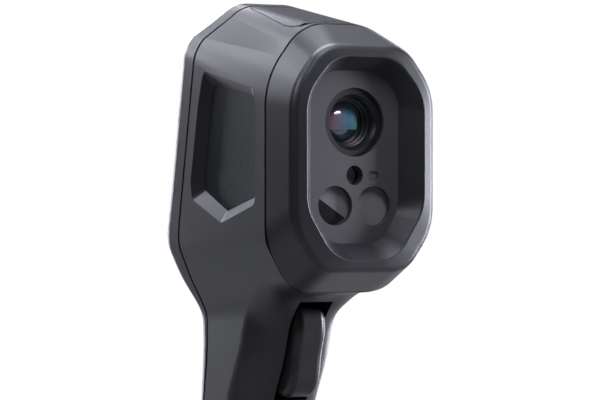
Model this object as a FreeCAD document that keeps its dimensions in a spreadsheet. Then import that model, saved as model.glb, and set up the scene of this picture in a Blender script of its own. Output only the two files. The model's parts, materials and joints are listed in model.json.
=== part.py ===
"""Handheld thermal imaging camera: pistol grip, hooded front bezel, rear display and keys.

Units are millimetres.  The origin is the centre of the tripod socket's mouth on the base of
the grip.  +Z runs up the grip, the infrared lens looks along -Y and +X is the user's right.
Most sizes are quoted in the head's own axes: "back" from the hood's front plane and "up" from
the centre of the head.  The function at() turns them into the part's frame.
"""
import FreeCAD
import Part
import Sketcher
import math
import os

from FreeCAD import Placement, Rotation, Vector

DIMENSIONS = [
    # head and grip envelope
    ("head_centre_up", 154.0, "socket mouth to head centre, along Z"),
    ("hood_front", 74.0, "socket axis to hood front plane, along -Y"),
    ("wall", 2.3, "moulded wall"),
    ("seam", 1.1, "width of the seams between the case parts"),
    ("seam_depth", 1.1, "how far the seals sit below the skin"),
    ("bezel_back", 18.0, "front seam, back from the hood plane"),
    ("rear_slope", 0.18, "lean of the display face, run over rise"),
    ("rear_at_centre", 84.3, "display face at the head centre height"),
    ("rear_seam_at_centre", 73.3, "rear seam at the head centre height"),
    ("grip_half_width", 17.5, "half width of the grip"),
    ("grip_round", 15.0, "rounding of the grip's front edges"),
    ("rear_round", 4.5, "rounding of the rear edges"),
    ("base_front", 57.0, "front of the grip's base"),
    ("base_rear", 91.0, "rear of the grip's base"),
    # hood and sensor panel
    ("open_half_width", 23.9, "hood opening"),
    ("open_half_height", 35.4, "hood opening"),
    ("crease_round", 3.2, "rounding between the hood's front and flank"),
    ("rim_round", 0.7, "rounding of the hood's opening"),
    ("hood_slope_run", 11.0, "hood front, outward from the opening"),
    ("hood_slope_rise", 2.4, "hood front, backward over that run"),
    ("recess_depth", 8.0, "hood plane to sensor panel"),
    ("panel_half_width", 18.0, "sensor panel as seen"),
    ("panel_half_height", 30.6, "sensor panel as seen, top"),
    ("panel_foot", 29.5, "sensor panel as seen, foot"),
    ("panel_edge", 1.2, "hidden rim of the sensor panel"),
    ("panel_thick", 3.2, "sensor panel"),
    ("bracket_thick", 2.0, "optics bracket"),
    # optics
    ("lens_up", 12.7, "infrared axis above head centre"),
    ("ring_radius", 12.0, "trim ring outside"),
    ("ring_mouth", 9.8, "trim ring inside"),
    ("barrel_radius", 9.6, "lens barrel outside"),
    ("lens_radius", 7.4, "germanium front lens"),
    ("lens_lip", 6.6, "lip that holds the front lens"),
    ("window_side", 7.9, "camera and worklight windows from the middle"),
    ("window_down", 16.4, "window centres below head centre"),
    ("window_radius", 6.9, "window holes"),
    ("laser_down", 5.8, "laser hole below head centre"),
    ("laser_radius", 3.4, "laser hole"),
    # controls
    ("trigger_width", 12.4, "trigger"),
    ("trigger_gap", 0.7, "trigger to its bay, each side"),
    ("pin_radius", 1.0, "trigger pin"),
    ("pin_clearance", 0.05, "running clearance, radial"),
    ("key_gap", 0.32, "key to its hole"),
    ("cover_thick", 2.4, "port cover"),
    # display
    ("display_width", 41.0, "display module"),
    ("display_height", 53.0, "display module"),
    ("display_up", 12.5, "display centre above head centre, along the rear face"),
    ("pcb_half_width", 20.5, "main board"),
    # battery and mount
    ("cell_radius", 9.2, "18650 cell"),
    ("cell_length", 65.0, "18650 cell"),
    ("socket_radius", 2.75, "tripod thread wall"),
    ("socket_depth", 9.0, "tripod thread length"),
]

doc = FreeCAD.newDocument("thermal_camera")
sheet = doc.addObject("Spreadsheet::Sheet", "Sizes")
for row, (alias, value, note) in enumerate(DIMENSIONS, start=1):
    sheet.set("A%d" % row, alias.replace("_", " "))
    sheet.set("B%d" % row, str(value))
    sheet.set("C%d" % row, note)
    sheet.setAlias("B%d" % row, alias)
doc.recompute()


def size(alias):
    """Value of one named cell."""
    return float(sheet.get(alias))


HEAD_UP = size("head_centre_up")
HOOD = -size("hood_front")
SLOPE = math.atan(size("rear_slope"))
PANEL_FRONT = size("recess_depth")
PANEL_BACK = PANEL_FRONT + size("panel_thick")
BRACKET_BACK = PANEL_BACK + size("bracket_thick")


def at(side, back, up):
    """Point given in the head's axes, in the part's frame."""
    return Vector(side, HOOD + back, HEAD_UP + up)


def facing_front(side, up, back):
    """Local +Z looks out of the front, local +Y is up."""
    return Placement(at(side, back, up), Rotation(Vector(1, 0, 0), 90))


def facing_rear(side, along, depth):
    """Local +Z leaves the display face, local +Y climbs it; depth is below its surface."""
    normal = Vector(0, math.cos(SLOPE), math.sin(SLOPE))
    climb = Vector(0, -math.sin(SLOPE), math.cos(SLOPE))
    start = at(side, size("rear_at_centre"), 0) + climb * along - normal * depth
    return Placement(start, Rotation(Vector(-1, 0, 0), climb, normal, "ZXY"))


def upright(side, back, up):
    """Local +Z is up."""
    return Placement(at(side, back, up), Rotation())


def across(side, back, up):
    """Local +Z runs along +X."""
    return Placement(at(side, back, up), Rotation(Vector(0, 1, 0), 90))


PARTS = []


def keep(obj, label, place=None):
    """Name a finished sub-part, place it and list it for export."""
    obj.Label = label
    if place is not None:
        obj.Placement = place
    PARTS.append(obj)
    return obj


def feature(label, shape, place=None):
    """Sub-part whose free-form shape is worked out by functions that read the sheet."""
    obj = doc.addObject("Part::Feature", label)
    obj.Shape = shape
    return keep(obj, label, place)


# ---------------------------------------------------------------- sketched bodies

class Body:
    """A PartDesign body with short names for the features this part uses."""

    def __init__(self, name):
        self.body = doc.addObject("PartDesign::Body", name)
        self.name = name
        self.count = 0

    def sketch(self, role="XY_Plane", lift=0.0):
        self.count += 1
        name = "%s_sketch_%d" % (self.name, self.count)
        sketch = self.body.newObject("Sketcher::SketchObject", name)
        plane = [f for f in self.body.Origin.OriginFeatures if f.Role == role][0]
        sketch.AttachmentSupport = [(plane, "")]
        sketch.MapMode = "FlatFace"
        sketch.AttachmentOffset = Placement(Vector(0, 0, lift), Rotation())
        return sketch

    def pad(self, sketch, length):
        return self._extrude("PartDesign::Pad", "pad", sketch, length)

    def pocket(self, sketch, length, upward=True):
        hole = self._extrude("PartDesign::Pocket", "pocket", sketch, length)
        hole.Reversed = upward
        return hole

    def _extrude(self, kind, word, sketch, length):
        obj = self.body.newObject(kind, "%s_%s_%d" % (self.name, word, self.count))
        obj.Profile = sketch
        bind(obj, "Length", length)
        sketch.Visibility = False
        return obj

    def turn(self, sketch):
        obj = self.body.newObject("PartDesign::Revolution", self.name + "_turned")
        obj.Profile = sketch
        obj.ReferenceAxis = (sketch, ["V_Axis"])
        obj.Angle = 360
        sketch.Visibility = False
        return obj

    def keep(self, place):
        return keep(self.body, self.name, place)


def bind(obj, prop, amount):
    """Set a property from the sheet (text) or as a fixed detail size (number)."""
    if isinstance(amount, str):
        obj.setExpression(prop, expression(amount))
    else:
        setattr(obj, prop, amount)


def expression(text):
    """Put the sheet's name before every alias in a formula."""
    words = []
    for word in text.replace("(", " ( ").replace(")", " ) ").split():
        words.append("Sizes." + word if word[0].isalpha() else word)
    return " ".join(words)


def amount_of(amount):
    """Numeric value of a formula or number, to draw a sketch near its final size."""
    if not isinstance(amount, str):
        return float(amount)
    words = []
    for word in amount.replace("(", " ( ").replace(")", " ) ").split():
        words.append(word)
    return reckon(words)


def reckon(words):
    """Left-to-right value of a flat formula such as 'a - b * 2'."""
    total = term(words[0])
    for sign, word in zip(words[1::2], words[2::2]):
        if sign == "+":
            total += term(word)
        elif sign == "-":
            total -= term(word)
        elif sign == "*":
            total *= term(word)
        else:
            total /= term(word)
    return total


def term(word):
    return size(word) if word[0].isalpha() else float(word)


def fix_length(sketch, constraint, amount):
    """Add a driving length and bind it when it comes from the sheet."""
    index = sketch.addConstraint(constraint)
    if isinstance(amount, str):
        sketch.setExpression("Constraints[%d]" % index, expression(amount))
    return index


def draw_circle(sketch, radius, x=0.0, y=0.0):
    circle = Part.Circle(Vector(x, y, 0), Vector(0, 0, 1), amount_of(radius))
    index = sketch.addGeometry(circle, False)
    fix_length(sketch, Sketcher.Constraint("Radius", index, amount_of(radius)), radius)
    place_point(sketch, index, 3, x, y)


def place_point(sketch, geometry, point, x, y):
    """Pin one point of a sketch, on an axis or at a distance from it."""
    if abs(x) < 1e-9:
        sketch.addConstraint(Sketcher.Constraint("PointOnObject", geometry, point, -2))
    else:
        sketch.addConstraint(Sketcher.Constraint("DistanceX", -1, 1, geometry, point, x))
    if abs(y) < 1e-9:
        sketch.addConstraint(Sketcher.Constraint("PointOnObject", geometry, point, -1))
    else:
        sketch.addConstraint(Sketcher.Constraint("DistanceY", -1, 1, geometry, point, y))


def draw_rectangle(sketch, width, height, x=0.0, y=0.0):
    """Rectangle about (x, y) with its width and height as driving lengths."""
    half_w = amount_of(width) / 2
    half_h = amount_of(height) / 2
    corners = [Vector(x - half_w, y - half_h, 0), Vector(x + half_w, y - half_h, 0),
               Vector(x + half_w, y + half_h, 0), Vector(x - half_w, y + half_h, 0)]
    first = sketch.GeometryCount
    for i in range(4):
        sketch.addGeometry(Part.LineSegment(corners[i], corners[(i + 1) % 4]), False)
    for i in range(4):
        sketch.addConstraint(Sketcher.Constraint("Coincident", first + i, 2, first + (i + 1) % 4, 1))
    for i in (0, 2):
        sketch.addConstraint(Sketcher.Constraint("Horizontal", first + i))
    for i in (1, 3):
        sketch.addConstraint(Sketcher.Constraint("Vertical", first + i))
    fix_length(sketch, Sketcher.Constraint("DistanceX", first, 1, first, 2, 2 * half_w), width)
    fix_length(sketch, Sketcher.Constraint("DistanceY", first + 1, 1, first + 1, 2, 2 * half_h), height)
    centre = sketch.addGeometry(Part.Point(Vector(x, y, 0)), True)
    sketch.addConstraint(Sketcher.Constraint("Symmetric", first, 1, first + 2, 1, centre, 1))
    place_point(sketch, centre, 1, x, y)


def draw_profile(sketch, points):
    """Closed half profile for turning: (radius, height) pairs, numbers or formulas."""
    spots = [(amount_of(r), amount_of(up)) for r, up in points]
    count = len(spots)
    for i in range(count):
        start, end = spots[i], spots[(i + 1) % count]
        sketch.addGeometry(Part.LineSegment(Vector(*start, 0), Vector(*end, 0)), False)
    for i in range(count):
        sketch.addConstraint(Sketcher.Constraint("Coincident", i, 2, (i + 1) % count, 1))
    for i, (radius, up) in enumerate(points):
        r, z = spots[i]
        if r < 1e-9:
            sketch.addConstraint(Sketcher.Constraint("PointOnObject", i, 1, -2))
        else:
            fix_length(sketch, Sketcher.Constraint("DistanceX", -1, 1, i, 1, r), radius)
        if abs(z) < 1e-9:
            sketch.addConstraint(Sketcher.Constraint("PointOnObject", i, 1, -1))
        else:
            fix_length(sketch, Sketcher.Constraint("DistanceY", -1, 1, i, 1, z), up)


def turned(name, points, place):
    """Turned piece about local Z."""
    body = Body(name)
    sketch = body.sketch("XZ_Plane")
    draw_profile(sketch, points)
    body.turn(sketch)
    return body.keep(place)


def slab(name, width, height, thickness, place, holes=(), windows=()):
    """Rectangular plate on local XY with round holes (radius, x, y) and square ones (w, h, x, y)."""
    body = Body(name)
    outline = body.sketch()
    draw_rectangle(outline, width, height)
    for radius, x, y in holes:
        draw_circle(outline, radius, x, y)
    for w, h, x, y in windows:
        draw_rectangle(outline, w, h, x, y)
    body.pad(outline, thickness)
    return body.keep(place)


# ---------------------------------------------------------------- Part primitives

def cylinder(name, radius, height, place=None):
    obj = doc.addObject("Part::Cylinder", name)
    bind(obj, "Radius", radius)
    bind(obj, "Height", height)
    if place is not None:
        obj.Placement = place
    return obj


def box(name, x, y, z, corner=(0, 0, 0)):
    obj = doc.addObject("Part::Box", name)
    bind(obj, "Length", x)
    bind(obj, "Width", y)
    bind(obj, "Height", z)
    obj.Placement = Placement(Vector(*corner), Rotation())
    return obj


def sphere(name, radius, centre):
    obj = doc.addObject("Part::Sphere", name)
    bind(obj, "Radius", radius)
    obj.Placement = Placement(Vector(*centre), Rotation())
    return obj


def join(kind, name, first, second):
    obj = doc.addObject("Part::" + kind, name)
    obj.Base = first
    obj.Tool = second
    first.Visibility = False
    second.Visibility = False
    return obj


# ---------------------------------------------------------------- curves and outlines

def segment(start, end):
    return Part.LineSegment(start, end).toShape()


def smooth(points, first=None, last=None):
    """Interpolated curve, with end directions where they matter."""
    curve = Part.BSplineCurve()
    if first is None:
        curve.interpolate(Points=points)
    else:
        curve.interpolate(Points=points, InitialTangent=first, FinalTangent=last)
    return curve.toShape()


def corner_arc(before, corner, after, radius):
    """Start, middle and end of the arc that rounds a corner."""
    u = (before - corner).normalize()
    v = (after - corner).normalize()
    angle = u.getAngle(v)
    reach = radius / math.tan(angle / 2)
    bisector = (u + v).normalize()
    centre = corner + bisector * (radius / math.sin(angle / 2))
    return corner + u * reach, centre - bisector * radius, corner + v * reach


def rounded_polygon(corners):
    """Closed wire through (point, radius) corners."""
    edges = []
    ends = []
    for i, (corner, radius) in enumerate(corners):
        before = corners[i - 1][0]
        after = corners[(i + 1) % len(corners)][0]
        ends.append(corner_arc(before, corner, after, radius))
    for i, (start, middle, end) in enumerate(ends):
        edges.append(Part.Arc(start, middle, end).toShape())
        edges.append(segment(end, ends[(i + 1) % len(ends)][0]))
    return Part.Wire(edges)


def eight_corners(back, half_w, top, foot, cut_x, cut_top, cut_foot, side_round, end_round):
    """Upright eight-sided outline, its corners beside the sides and the ends rounded apart."""
    right = [
        (half_w - cut_x, top, end_round),
        (half_w, top - cut_top, side_round),
        (half_w, foot + cut_foot, side_round),
        (half_w - cut_x, foot, end_round),
    ]
    left = [(-x, up, radius) for x, up, radius in reversed(right)]
    return rounded_polygon([(at(x, back, up), radius) for x, up, radius in right + left])


def octagon(back, half_w, half_h, cut_x, cut_z, radius):
    """Upright octagon with rounded corners at a given distance back from the hood plane."""
    return eight_corners(back, half_w, half_h, -half_h, cut_x, cut_z, cut_z, radius, radius)


def octagon_block(front, back, half_w, half_h, cut_x, cut_z, radius):
    """Octagonal prism from front to back."""
    face = Part.Face(octagon(front, half_w, half_h, cut_x, cut_z, radius))
    return face.extrude(Vector(0, back - front, 0))


def disc(side, up, front, back, radius):
    """Round bar along Y, used as a hole cutter or boss."""
    return Part.makeCylinder(radius, back - front, at(side, front, up), Vector(0, 1, 0))


def block(side, back, up):
    """Box from (low, high) pairs in the head's axes."""
    corner = at(side[0], back[0], up[0])
    return Part.makeBox(side[1] - side[0], back[1] - back[0], up[1] - up[0], corner)


def side_prism(points, low, high):
    """Prism along X through (back, up) points."""
    wire = Part.makePolygon([at(low, b, u) for b, u in points + points[:1]])
    return Part.Face(wire).extrude(Vector(high - low, 0, 0))


# ---------------------------------------------------------------- outer envelope

# cross-sections of the head: back, half width, top, half width of the flat top,
# shoulder height, hip height, height where the hips meet the grip, roundings of the shoulder
SEAM_ROUNDS = (19.0, 30.0)
SECTIONS = {
    "front_seam": (18.0, 30.2, 47.4, 15.2, 27.6, -24.0, -53.0, SEAM_ROUNDS),
    "rear": (98.0, 32.0, 62.4, 12.0, 48.0, -24.0, -60.5, (10.0, 4.5)),
}


def head_outline(section, inset):
    """Head, hips and grip seen from the front, as one closed wire."""
    back, half, top, flat, shoulder, hip, waist, rounds = section
    half -= inset
    grip = size("grip_half_width") - inset
    top -= inset
    foot = -HEAD_UP - 5
    drop = hip - waist
    round_start = at(flat - inset * 0.4, back, top)
    round_end = at(half, back, shoulder - inset * 0.4)
    middle_top = at(0, back, top)
    hip_point = at(half, back, hip)
    first = corner_arc(middle_top, round_start, round_end, rounds[0])
    second = corner_arc(round_start, round_end, hip_point, rounds[1])
    flank = [
        hip_point,
        at(half - 0.16 * (half - grip), back, hip - 0.29 * drop),
        at(half - 0.5 * (half - grip), back, hip - 0.55 * drop),
        at(grip + 0.16 * (half - grip), back, hip - 0.78 * drop),
        at(grip, back, waist),
    ]
    base_corner = at(grip, back, foot)

    def other(point):
        return Vector(-point.x, point.y, point.z)

    down = Vector(0, 0, -1)
    edges = [
        segment(other(first[0]), first[0]),
        Part.Arc(*first).toShape(),
        segment(first[2], second[0]),
        Part.Arc(*second).toShape(),
        segment(second[2], hip_point),
        smooth(flank, down, down),
        segment(flank[-1], base_corner),
        segment(base_corner, other(base_corner)),
        segment(other(base_corner), other(flank[-1])),
        smooth([other(p) for p in reversed(flank)], -down, -down),
        segment(other(hip_point), other(second[2])),
        Part.Arc(other(second[2]), other(second[1]), other(second[0])).toShape(),
        segment(other(second[0]), other(first[2])),
        Part.Arc(other(first[2]), other(first[1]), other(first[0])).toShape(),
    ]
    return Part.Wire(edges)


def rear_line(up, inset=0.0):
    """Back coordinate of the display face at a height."""
    return size("rear_at_centre") - size("rear_slope") * up - inset * 1.016


def side_profile(inset):
    """Side view of head and grip as a prism across X."""
    side = -60.0
    foot = -HEAD_UP + inset
    front = size("bezel_back") + inset
    base_front = size("base_front") + inset
    base_rear = size("base_rear") - inset
    top_rear = at(side, rear_line(80, inset), 80)
    rear_points = [top_rear]
    rear_points += [at(side, rear_line(up, inset), up) for up in (45, 10, -15, -32)]
    for back, up in ((90.2, -43), (88.6, -54), (87.8, -66), (89.0, -84), (90.4, -112)):
        rear_points.append(at(side, back - inset, up))
    rear_points.append(at(side, base_rear, foot))
    lean = Vector(0, size("rear_slope"), -1).normalize()
    rear = smooth(rear_points, lean, Vector(0, 0, -1))
    front_points = [at(side, base_front, foot)]
    for back, up in ((59.2, -128), (57.6, -104), (51.0, -86), (43.8, -71), (40.4, -60.6)):
        front_points.append(at(side, back + inset, up))
    front_points.append(at(side, 36.0 + inset * 0.7, -53.2 + inset * 0.7))
    front_points.append(at(side, 30.0, -48.6 + inset))
    front_points.append(at(side, front, -46.9 + inset))
    grip_front = smooth(front_points, Vector(0, 0.03, 1).normalize(), Vector(0, -1, 0.1).normalize())
    top_front = at(side, front, 80)
    edges = [
        segment(top_front, top_rear),
        rear,
        segment(rear_points[-1], front_points[0]),
        grip_front,
        segment(front_points[-1], top_front),
    ]
    return Part.Face(Part.Wire(edges)).extrude(Vector(-2 * side, 0, 0))


def span(edge):
    """Extent of an edge in the head's axes."""
    b = edge.BoundBox
    return (b.XMin, b.XMax, b.YMin - HOOD, b.YMax - HOOD, b.ZMin - HEAD_UP, b.ZMax - HEAD_UP)


def is_grip_front_edge(edge):
    x0, x1, y0, y1, z0, z1 = span(edge)
    beside = x0 > 14 or x1 < -14
    return beside and y1 < 64 and z1 < -45 and y1 - y0 < 50 and z1 - z0 > 3


def is_rear_edge(edge):
    x0, x1, y0, y1, z0, z1 = span(edge)
    if y0 > 70 and z0 > -35.5:
        return True
    return y0 > 80 and z1 < -20 and (x0 > 10 or x1 < -10) and z1 - z0 > 1


def body_envelope(inset):
    """Solid of head and grip behind the front seam, moved inward by inset."""
    wires = [head_outline(SECTIONS[name], inset) for name in ("front_seam", "rear")]
    solid = Part.makeLoft(wires, True, True).common(side_profile(inset)).Solids[0]
    solid = round_edges(solid, size("grip_round") - inset, is_grip_front_edge)
    return round_edges(solid, size("rear_round") - inset, is_rear_edge)


def round_edges(solid, radius, wanted):
    edges = [edge for edge in solid.Edges if wanted(edge)]
    return solid.makeFillet(radius, edges)


# corners of the bezel's outline, right side from top to bottom: half width, height, rounding
BEZEL_CORNERS = {
    "hood": (0.0, [(17.6, 38.6, 13), (29.1, 23.4, 22), (29.1, -23.4, 22), (17.6, -38.6, 13)]),
    "front_seam": (18.0, [(15.2, 47.4, SEAM_ROUNDS[0]), (30.2, 27.6, SEAM_ROUNDS[1]),
                          (30.2, -29.6, 30), (20.8, -46.9, 15)]),
}


def bezel_envelope(inset):
    """Solid in front of the front seam, moved inward by inset."""
    wires = [bezel_outline(name, inset, BEZEL_CORNERS[name][0]) for name in ("hood", "front_seam")]
    return Part.makeLoft(wires, True, True)


def bezel_outline(name, inset, back):
    """Closed outline of the bezel, moved inward by inset."""
    right = []
    for half, up, radius in BEZEL_CORNERS[name][1]:
        shift = inset if up > 0 else -inset
        right.append((half - inset, up - shift, radius - inset))
    left = [(-x, up, radius) for x, up, radius in reversed(right)]
    return rounded_polygon([(at(x, back, up), radius) for x, up, radius in right + left])


WALL = size("wall")
SKIN = body_envelope(0.0)
CAVITY = body_envelope(WALL)
SEAL_OUTSIDE = body_envelope(size("seam_depth"))
BEZEL_SKIN = bezel_envelope(0.0)
BEZEL_CAVITY = bezel_envelope(WALL)


def behind_rear_seam(shift):
    """Everything behind the rear seam surface, which follows the display face and the grip."""
    line = [(size("rear_seam_at_centre") - size("rear_slope") * up, up) for up in (75, 30, -15)]
    line += [(80.0, -38), (81.6, -50), (81.6, -62), (82.0, -72), (84.2, -86), (86.0, -110), (86.4, -165)]
    points = [at(-60, back + shift, up) for back, up in line]
    seam = smooth(points)
    far_top = at(-60, 140, 75)
    far_foot = at(-60, 140, -165)
    edges = [seam, segment(points[-1], far_foot), segment(far_foot, far_top), segment(far_top, points[0])]
    return Part.Face(Part.Wire(edges)).extrude(Vector(120, 0, 0))


HALF_SEAM = size("seam") / 2
REAR_OF_SEAM = behind_rear_seam(HALF_SEAM)
FRONT_LIMIT = behind_rear_seam(-HALF_SEAM)


# ---------------------------------------------------------------- front bezel and panel

BEZEL_REAR = size("bezel_back") - HALF_SEAM
HOUSING_FRONT = size("bezel_back") + HALF_SEAM
SCREW_SPOTS = [(x, z) for x in (-22.4, 22.4) for z in (-17.0, 18.0)]


def recess(back_from, back_to):
    """Tapered hollow between the hood opening and the sensor panel."""
    depth = size("recess_depth")
    wires = []
    for back in (back_from, back_to):
        share = back / depth
        half_w = mixed("open_half_width", "panel_half_width", share)
        top = mixed("open_half_height", "panel_half_height", share)
        foot = -mixed("open_half_height", "panel_foot", share)
        cut_x, cut_top, cut_foot = 11.5 - 4.5 * share, 13.5 - 4.5 * share, 18.0 - 6.0 * share
        side_round, end_round = 18.0 - 7.0 * share, 14.0 - 5.0 * share
        wires.append(eight_corners(back, half_w, top, foot, cut_x, cut_top, cut_foot, side_round, end_round))
    return Part.makeLoft(wires, True, True)


def mixed(first, second, share):
    """Value part of the way from one named cell to another."""
    return size(first) + (size(second) - size(first)) * share


def hood_bevel():
    """Keeps what lies behind the gently sloping face around the opening."""
    open_w, open_h = size("open_half_width"), size("open_half_height")
    spread = size("hood_slope_run")
    wires = []
    for back, out, side_round, end_round in ((0.0, -0.8, 17.2, 13.2),
                                             (size("hood_slope_rise"), spread, 22.0, 17.0)):
        wires.append(eight_corners(back, open_w + out, open_h + out, -open_h - out, 11.5, 13.5, 18.0,
                                   side_round, end_round))
    front = Part.makeLoft(wires, True, True)
    return front.fuse(block((-60, 60), (size("hood_slope_rise"), 30), (-80, 80)))


def is_crease(edge):
    """Edge where the hood's front face meets the bezel's flank."""
    x0, x1, y0, y1, z0, z1 = span(edge)
    outside = x0 > 25 or x1 < -25 or z0 > 36.5 or z1 < -36.5 or y1 - y0 > 0
    return y0 > 0.2 and y1 < 3.0 and outside


def is_rim(edge):
    """Edge of the hood's opening."""
    x0, x1, y0, y1, z0, z1 = span(edge)
    return y1 < 0.6 and x0 > -26 and x1 < 26 and z0 > -38 and z1 < 38


def make_front_bezel():
    shape = BEZEL_SKIN.common(hood_bevel())
    shape = round_edges(shape, size("crease_round"), is_crease)
    shape = shape.common(block((-60, 60), (-1, BEZEL_REAR), (-80, 80)))
    shape = shape.cut(recess(-1.0, PANEL_FRONT + 0.01))
    shape = round_edges(shape, size("rim_round"), is_rim)
    shape = shape.cut(panel_outline(size("panel_edge"), PANEL_FRONT, PANEL_BACK + 1))
    hollow = BEZEL_CAVITY.common(block((-60, 60), (PANEL_BACK, 30), (-80, 80)))
    shape = shape.cut(hollow)
    for x, z in SCREW_SPOTS:
        shape = shape.cut(disc(x, z, PANEL_BACK - 5, PANEL_BACK + 1, 0.9))
    feature("front_bezel", shape)


def panel_outline(rim, front, back):
    """Sensor panel with a hidden rim around what shows of it."""
    half_w = size("panel_half_width") + rim
    top = size("panel_half_height") + rim
    foot = -size("panel_foot") - rim
    wire = eight_corners(front, half_w, top, foot, 7.4, 9.4, 12.4, 5.0, 4.0)
    return Part.Face(wire).extrude(Vector(0, back - front, 0))


def make_bezel_seal():
    inside = octagon_block(BEZEL_REAR - 1, HOUSING_FRONT + 1, 27.0, 42.4, 13.4, 17.6, 9.0)
    wire = bezel_outline("front_seam", size("seam_depth"), BEZEL_REAR)
    ring = Part.Face(wire).extrude(Vector(0, size("seam"), 0)).cut(inside)
    feature("bezel_seal", ring)


def make_lens_panel():
    shape = panel_outline(size("panel_edge") - 0.12, PANEL_FRONT, PANEL_BACK)
    lens_up = size("lens_up")
    shape = shape.cut(disc(0, lens_up, PANEL_FRONT - 1, PANEL_BACK + 1, size("ring_radius")))
    down = -size("window_down")
    for side in (-size("window_side"), size("window_side")):
        shape = shape.cut(disc(side, down, PANEL_FRONT - 1, PANEL_BACK + 1, size("window_radius")))
        shape = shape.cut(disc(side, down, WINDOW_FRONT, PANEL_BACK + 1, size("window_radius") + 0.75))
    shape = shape.cut(disc(0, -size("laser_down"), PANEL_FRONT - 1, PANEL_BACK + 1, size("laser_radius")))
    slot = rounded_polygon([(at(x, PANEL_FRONT - 1, z), 1.2) for x, z in LIGHT_SLOT])
    shape = shape.cut(Part.Face(slot).extrude(Vector(0, size("panel_thick") + 2, 0)))
    feature("lens_panel", shape)


WINDOW_FRONT = PANEL_BACK - 0.9
LIGHT_SLOT = [(5.3, -4.4), (9.7, -4.4), (9.7, -7.2), (5.3, -7.2)]


def make_light_pipe():
    clear = 0.1
    spots = []
    for x, z in LIGHT_SLOT:
        spots.append((x + clear if x < 7 else x - clear, z - clear if z > -6 else z + clear))
    wire = rounded_polygon([(at(x, PANEL_FRONT + 0.7, z), 1.1) for x, z in spots])
    shape = Part.Face(wire).extrude(Vector(0, PANEL_BACK - PANEL_FRONT - 0.7, 0))
    feature("light_pipe", shape)


def make_optics_bracket():
    shape = octagon_block(PANEL_BACK, BRACKET_BACK, 24.9, 33.0, 9.0, 12.5, 5.0)
    lens_up = size("lens_up")
    down = -size("window_down")
    shape = shape.cut(disc(0, lens_up, PANEL_BACK - 1, BRACKET_BACK + 1, size("barrel_radius") + 0.15))
    shape = shape.cut(disc(-size("window_side"), down, PANEL_BACK - 1, BRACKET_BACK + 1, 4.4))
    shape = shape.cut(disc(size("window_side"), down, PANEL_BACK - 1, BRACKET_BACK + 1, 6.5))
    boss = disc(0, -size("laser_down"), BRACKET_BACK, BRACKET_BACK + 3.6, 5.2)
    shape = shape.fuse(boss)
    shape = shape.cut(disc(0, -size("laser_down"), PANEL_BACK - 1, BRACKET_BACK, size("laser_radius")))
    shape = shape.cut(disc(0, -size("laser_down"), BRACKET_BACK, BRACKET_BACK + 5, 4.0))
    for x, z in SCREW_SPOTS:
        shape = shape.cut(disc(x, z, PANEL_BACK - 1, BRACKET_BACK + 1, 1.15))
    for x, z in LENS_SCREW_SPOTS:
        shape = shape.cut(disc(x, z, PANEL_BACK - 1, BRACKET_BACK + 1, 0.8))
    feature("optics_bracket", shape)


LENS_SCREW_SPOTS = []
for turn in (30, 150, 270):
    spot_x = 10.9 * math.cos(math.radians(turn))
    spot_z = size("lens_up") + 10.9 * math.sin(math.radians(turn))
    LENS_SCREW_SPOTS.append((spot_x, spot_z))


def make_screws(label, spots, front, back, shank, head, head_height, toward_rear=True):
    """Group of identical pan-head screws along Y, heads at the back."""
    solids = []
    for x, z in spots:
        screw = disc(x, z, front, back, shank)
        cap = disc(x, z, back, back + head_height, head)
        slot = block((x - head, x + head), (back + head_height * 0.5, back + head_height + 1),
                     (z - 0.2, z + 0.2))
        solids.append(screw.fuse(cap).cut(slot).removeSplitter())
    feature(label, Part.makeCompound(solids))


# ---------------------------------------------------------------- optics



def optic_place(back):
    return facing_front(0, size("lens_up"), back)


def make_trim_ring():
    # heights run forward from the back of the panel
    points = [(8.8, 0), ("ring_radius - 0.05", 0), ("ring_radius - 0.05", 1.9),
              ("ring_mouth", 1.9), (9.0, 0.9)]
    turned("lens_trim_ring", points, optic_place(PANEL_BACK))


def make_lens_barrel():
    # heights run forward from the barrel's rear end
    length = 18.8
    points = [
        (5.6, 0), (8.2, 0), (8.2, 15.0), (12.2, 15.0), (12.2, 16.8), ("barrel_radius", 16.8),
        ("barrel_radius", length), (8.6, length), (8.6, 17.4), (8.0, 17.0), (8.0, 15.9), (7.4, 15.5),
        (7.4, 14.1), ("lens_lip", 13.4), ("lens_lip", 12.6), ("lens_radius + 0.05", 12.6),
        ("lens_radius + 0.05", LENS_SEAT), (5.6, LENS_SEAT),
    ]
    barrel = Body("lens_barrel")
    sketch = barrel.sketch("XZ_Plane")
    draw_profile(sketch, points)
    barrel.turn(sketch)
    holes = barrel.sketch(lift=14.0)
    for x, z in LENS_SCREW_SPOTS:
        draw_circle(holes, 1.0, x, z - size("lens_up"))
    barrel.pocket(holes, 4.0)
    barrel.keep(optic_place(BARREL_REAR))


BARREL_REAR = BRACKET_BACK + 16.8
LENS_SEAT = 8.6


def make_front_lens():
    # flat back, edge under the lip, dome bulging through it
    disc_part = cylinder("front_lens_edge", "lens_radius", 7.0)
    ball = sphere("front_lens_dome", 10.5, (0, 0, -3.5))
    shape = join("Common", "front_lens_common", disc_part, ball)
    above_edge = Placement(Vector(0, 0, 3.9), Rotation())
    lip_trim = cylinder("front_lens_lip_trim", "lens_radius + 1.0", 6.0, above_edge)
    bore = cylinder("front_lens_inside", "lens_lip - 0.05", 8.0, Placement(Vector(0, 0, 3.0), Rotation()))
    trim = join("Cut", "front_lens_trim", lip_trim, bore)
    lens = join("Cut", "front_lens", shape, trim)
    keep(lens, "front_lens", optic_place(BARREL_REAR - LENS_SEAT - 0.05))


def make_rear_lens():
    disc_part = cylinder("rear_lens_edge", 5.5, 3.0)
    ball = sphere("rear_lens_ball", 14.0, (0, 0, -11.4))
    lens = join("Common", "rear_lens", disc_part, ball)
    keep(lens, "rear_lens", optic_place(BARREL_REAR - 2.0))


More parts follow.
